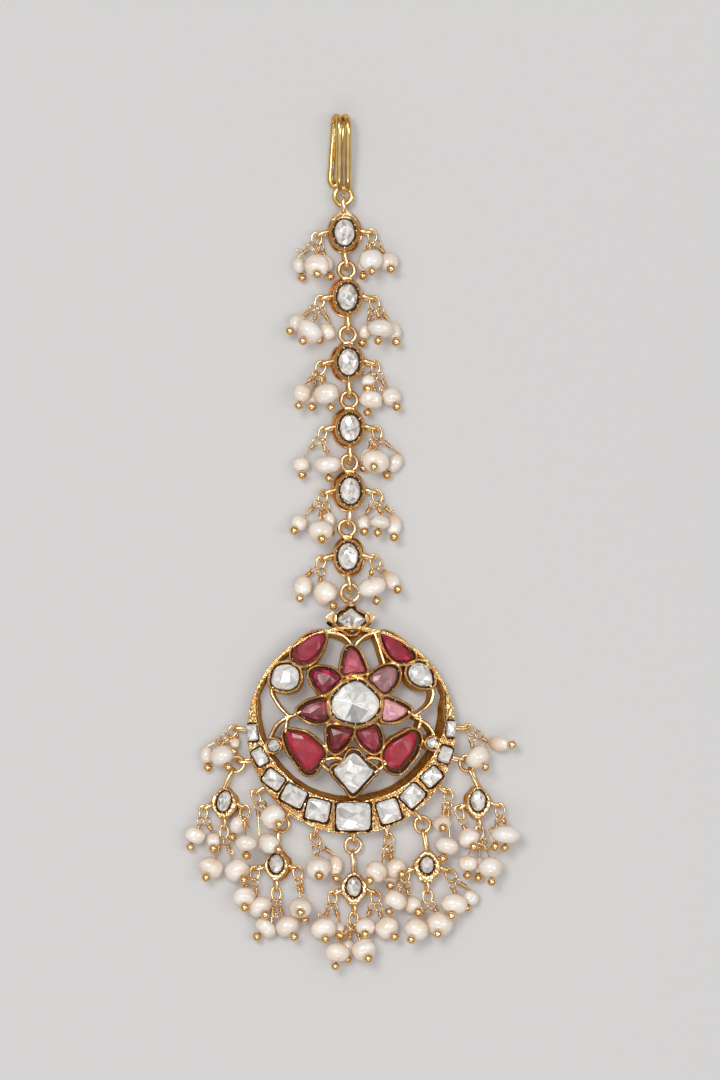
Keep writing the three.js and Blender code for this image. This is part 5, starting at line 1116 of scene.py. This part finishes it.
# ---- drops ------------------------------------------------------------------------------------------
for i, d in enumerate(DROPS):
    end = hangers[f"drop_{i + 1}"]
    x, y, wide, tall = d["x"], d["y"], d["wide"], d["tall"]
    aim = math.atan2(y + tall / 2 - end[1], x - end[0])
    u = np.array([math.cos(aim), math.sin(aim)])
    ring = [end[0] + u[0] * 0.42, end[1] + u[1] * 0.42, MID]
    upper = [ring[0] + u[0] * 0.76, ring[1] + u[1] * 0.76]
    away = [upper[0] - x, upper[1] - (y + tall / 2)]
    length, bearing = math.hypot(*away), math.atan2(away[1], away[0]) / RAD
    warp = skew(d["lean"])
    shape, beads, wires = Shape(), Shape(), Shape()
    gy = y + 0.3
    # The setting follows the stone inside and a four-lobed rim outside; its recess is painted dark as shade with some
    # patina, its walls darker as shade.
    inner = rounded(x, gy, d["gem_wide"], d["gem_tall"], d["gem_turn"])
    rim = rounded(x, y, wide, tall, 0, 2, 4, 0.05)
    n = len(rim)
    nor = normals(rim)
    order = [np.argmin(np.hypot(*(inner - q).T)) for q in rim]
    hole = inner[order] + normals(inner)[order] * (0.13 + wobble(n, 51 + i, 0.05, (5, 8, 12)))[:, None]
    hole = (np.roll(hole, 1, 0) + hole + np.roll(hole, -1, 0)) / 3
    lip = rim + nor * (0.02 + wobble(n, 61 + i, 0.06, (4, 6, 9, 13)) + 0.07 * np.abs(np.sin(4 * np.arange(n) / n * 2 * math.pi)))[:, None]
    high = BEZEL + wobble(n, 71 + i, 0.07, (4, 7, 11))
    rows = [
        (inner[order] - normals(inner)[order] * 0.3, np.full(n, BEZEL - 0.6), 1.0), (hole * 0.7 + inner[order] * 0.3, np.full(n, BEZEL - 0.6), 1.0), (hole, np.full(n, BEZEL - 0.2), 0.9), (hole + (lip - hole) * 0.12, high - 0.03, 0.3),
        (hole + (lip - hole) * 0.35, high + 0.06, 0.0), (hole + (lip - hole) * 0.65, high + 0.03, 0.0), (hole + (lip - hole) * 0.9, high - 0.08, 0.0), (lip, high - 0.3, 0.1),
        (lip - nor * 0.02, np.full(n, 1.2), 0.3), (lip, np.full(n, 0.2), 0.3), (lip - nor * 0.12, np.full(n, 0.06), 0.3), (lip - nor * 0.5, np.full(n, 0.06), 0.2),
    ]
    verts = np.vstack([np.column_stack([xy, z]) for xy, z, _ in rows] + [[[x, gy, BEZEL - 0.6]], [[x, y, 0.06]]])
    m = len(rows)
    faces = [[k * n + a, (k + 1) * n + a, (k + 1) * n + (a + 1) % n, k * n + (a + 1) % n] for k in range(m - 1) for a in range(n)]
    faces += [[m * n, a, (a + 1) % n] for a in range(n)] + [[m * n + 1, (m - 1) * n + (a + 1) % n, (m - 1) * n + a] for a in range(n)]
    shape.add(warp(verts), faces, np.concatenate([np.full(n, g) for _, _, g in rows] + [[1.0, 0.2]]))
    for p, q, size, z in claws(inner, 81 + i, 8, 0.15, 0.27, BEZEL):
        burr(shape, p, q, size, z, warp)
    eye(shape, [x, y + tall / 2 - 0.05], bearing, 0.29, 0.68, max(0.1, length - 1.36), tilt=13, seed=i)
    loop(shape, ring, 1.12, DROP_WIRE + 0.03, steps=40, sides=10, rough=0.05, seed=i)
    for side, at in (("left", [x - wide / 2 + 0.1, y - 0.1]), ("right", [x + wide / 2 - 0.1, y - 0.1]), ("foot", [x, y - tall / 2 + 0.1])):
        tip = eye(shape, at, d[side], 0.29, 0.6, 0.3, tilt=14, seed=i + 9)
        v = np.array([math.cos(d[side] * RAD), math.sin(d[side] * RAD), 0])
        start = np.array([*at, MID])
        tube(shape, [start, start + v * 0.2, start + v * 0.42], [0.5, 0.4, 0.28], sides=9, dark=0.12)
        bunch(beads, wires, f"drop_{i + 1}_{side}", tip, True, 3000 + i * 7 + len(side))
    make(f"drop_gold_{i + 1}", shape, WORKED, "gold", f"drop_{i + 1}")
    make(f"drop_wires_{i + 1}", wires, WIRED, "gold", crease=0)
    make(f"drop_beads_{i + 1}", beads, PEARL, "pearl", crease=0)
    cut = Shape()
    inner = inner.mean(0) + (inner - inner.mean(0)) * 1.0
    stone(cut, inner, BEZEL - 0.22, 0.45, 91 + 5 * i, silver(1.0, 0.3, 0.36, 0.05), warp, ((0.8, 7, 0.6), (0.4, 4, 1.0)), deep=0.3)
    make(f"drop_polki_{i + 1}", cut, CLEAR, "clear_stone", f"drop_stone_{i + 1}", crease=0)

# ---- floor, light, camera -------------------------------------------------------------------------------
bpy.ops.mesh.primitive_plane_add(size=6, location=(0, 0, -0.0002))
floor = bpy.context.object
floor.name = "floor"
paper, t, s, where = base("floor_paper")
cloud = noise(t, where, 3.0, 2.0)
tone = ramp(t, cloud, "Fac", [(0.3, (0.575, 0.575, 0.578)), (0.7, (0.585, 0.585, 0.588))])
s.inputs["Emission Color"].default_value = (1, 1, 1, 1)
s.inputs["Emission Strength"].default_value = 0.085
link(t, tone, "Color", s, "Base Color")
s.inputs["Roughness"].default_value = 0.9
s.inputs["Specular IOR Level"].default_value = 0.1
floor.data.materials.append(paper)
floor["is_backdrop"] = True

world = bpy.data.worlds.new("studio")
bpy.context.scene.world = world
world.use_nodes = True
wt = world.node_tree
back = wt.nodes["Background"]
coord = wt.nodes.new("ShaderNodeTexCoord")
parts = wt.nodes.new("ShaderNodeSeparateXYZ")
wt.links.new(coord.outputs["Generated"], parts.inputs[0])
sky = ramp(wt, parts, "Z", [(0.0, (0.36, 0.31, 0.26)), (0.3, (0.24, 0.20, 0.165)), (0.55, (0.34, 0.31, 0.285)), (0.75, (0.66, 0.655, 0.65)), (0.88, (0.70, 0.70, 0.70)), (1.0, (0.70, 0.70, 0.70))])
wt.links.new(sky.outputs["Color"], back.inputs["Color"])
back.inputs["Strength"].default_value = 0.95


def softbox(name, place, aim, width, height, power, colour=(1, 1, 1)):
    data = bpy.data.lights.new(name, "AREA")
    data.shape, data.size, data.size_y, data.energy, data.color = "RECTANGLE", width, height, power, colour
    obj = bpy.data.objects.new(name, data)
    bpy.context.scene.collection.objects.link(obj)
    obj.location = place
    obj.rotation_euler = (Vector(aim) - Vector(place)).to_track_quat("-Z", "Y").to_euler()


softbox("key", (-0.3, 0.33, 1.25), (0, 0, 0), 0.42, 0.42, 6.2)
softbox("fill", (0.55, -0.05, 1.0), (0, 0, 0), 0.16, 0.7, 1.9)
softbox("low", (-0.1, -0.7, 0.8), (0, -0.02, 0), 0.6, 0.15, 0.9)

camera_data = bpy.data.cameras.new("camera")
camera = bpy.data.objects.new("camera", camera_data)
bpy.context.scene.collection.objects.link(camera)
FAR = 1.25
camera.location = (0.001158, 0.000237, FAR)
camera.rotation_euler = (0, 0, 0)
camera_data.sensor_fit = "VERTICAL"
camera_data.sensor_height = 24.0
camera_data.lens = 24.0 * (FAR - 0.0022) / 0.1543
camera_data.clip_start, camera_data.clip_end = 0.05, 20
bpy.context.scene.camera = camera
bpy.context.scene.view_settings.view_transform = "Standard"
bpy.context.scene.view_settings.look = "None"

size = {"cad": CAD_BOX, "visual": [[float(c) for c in corner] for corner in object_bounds()]}
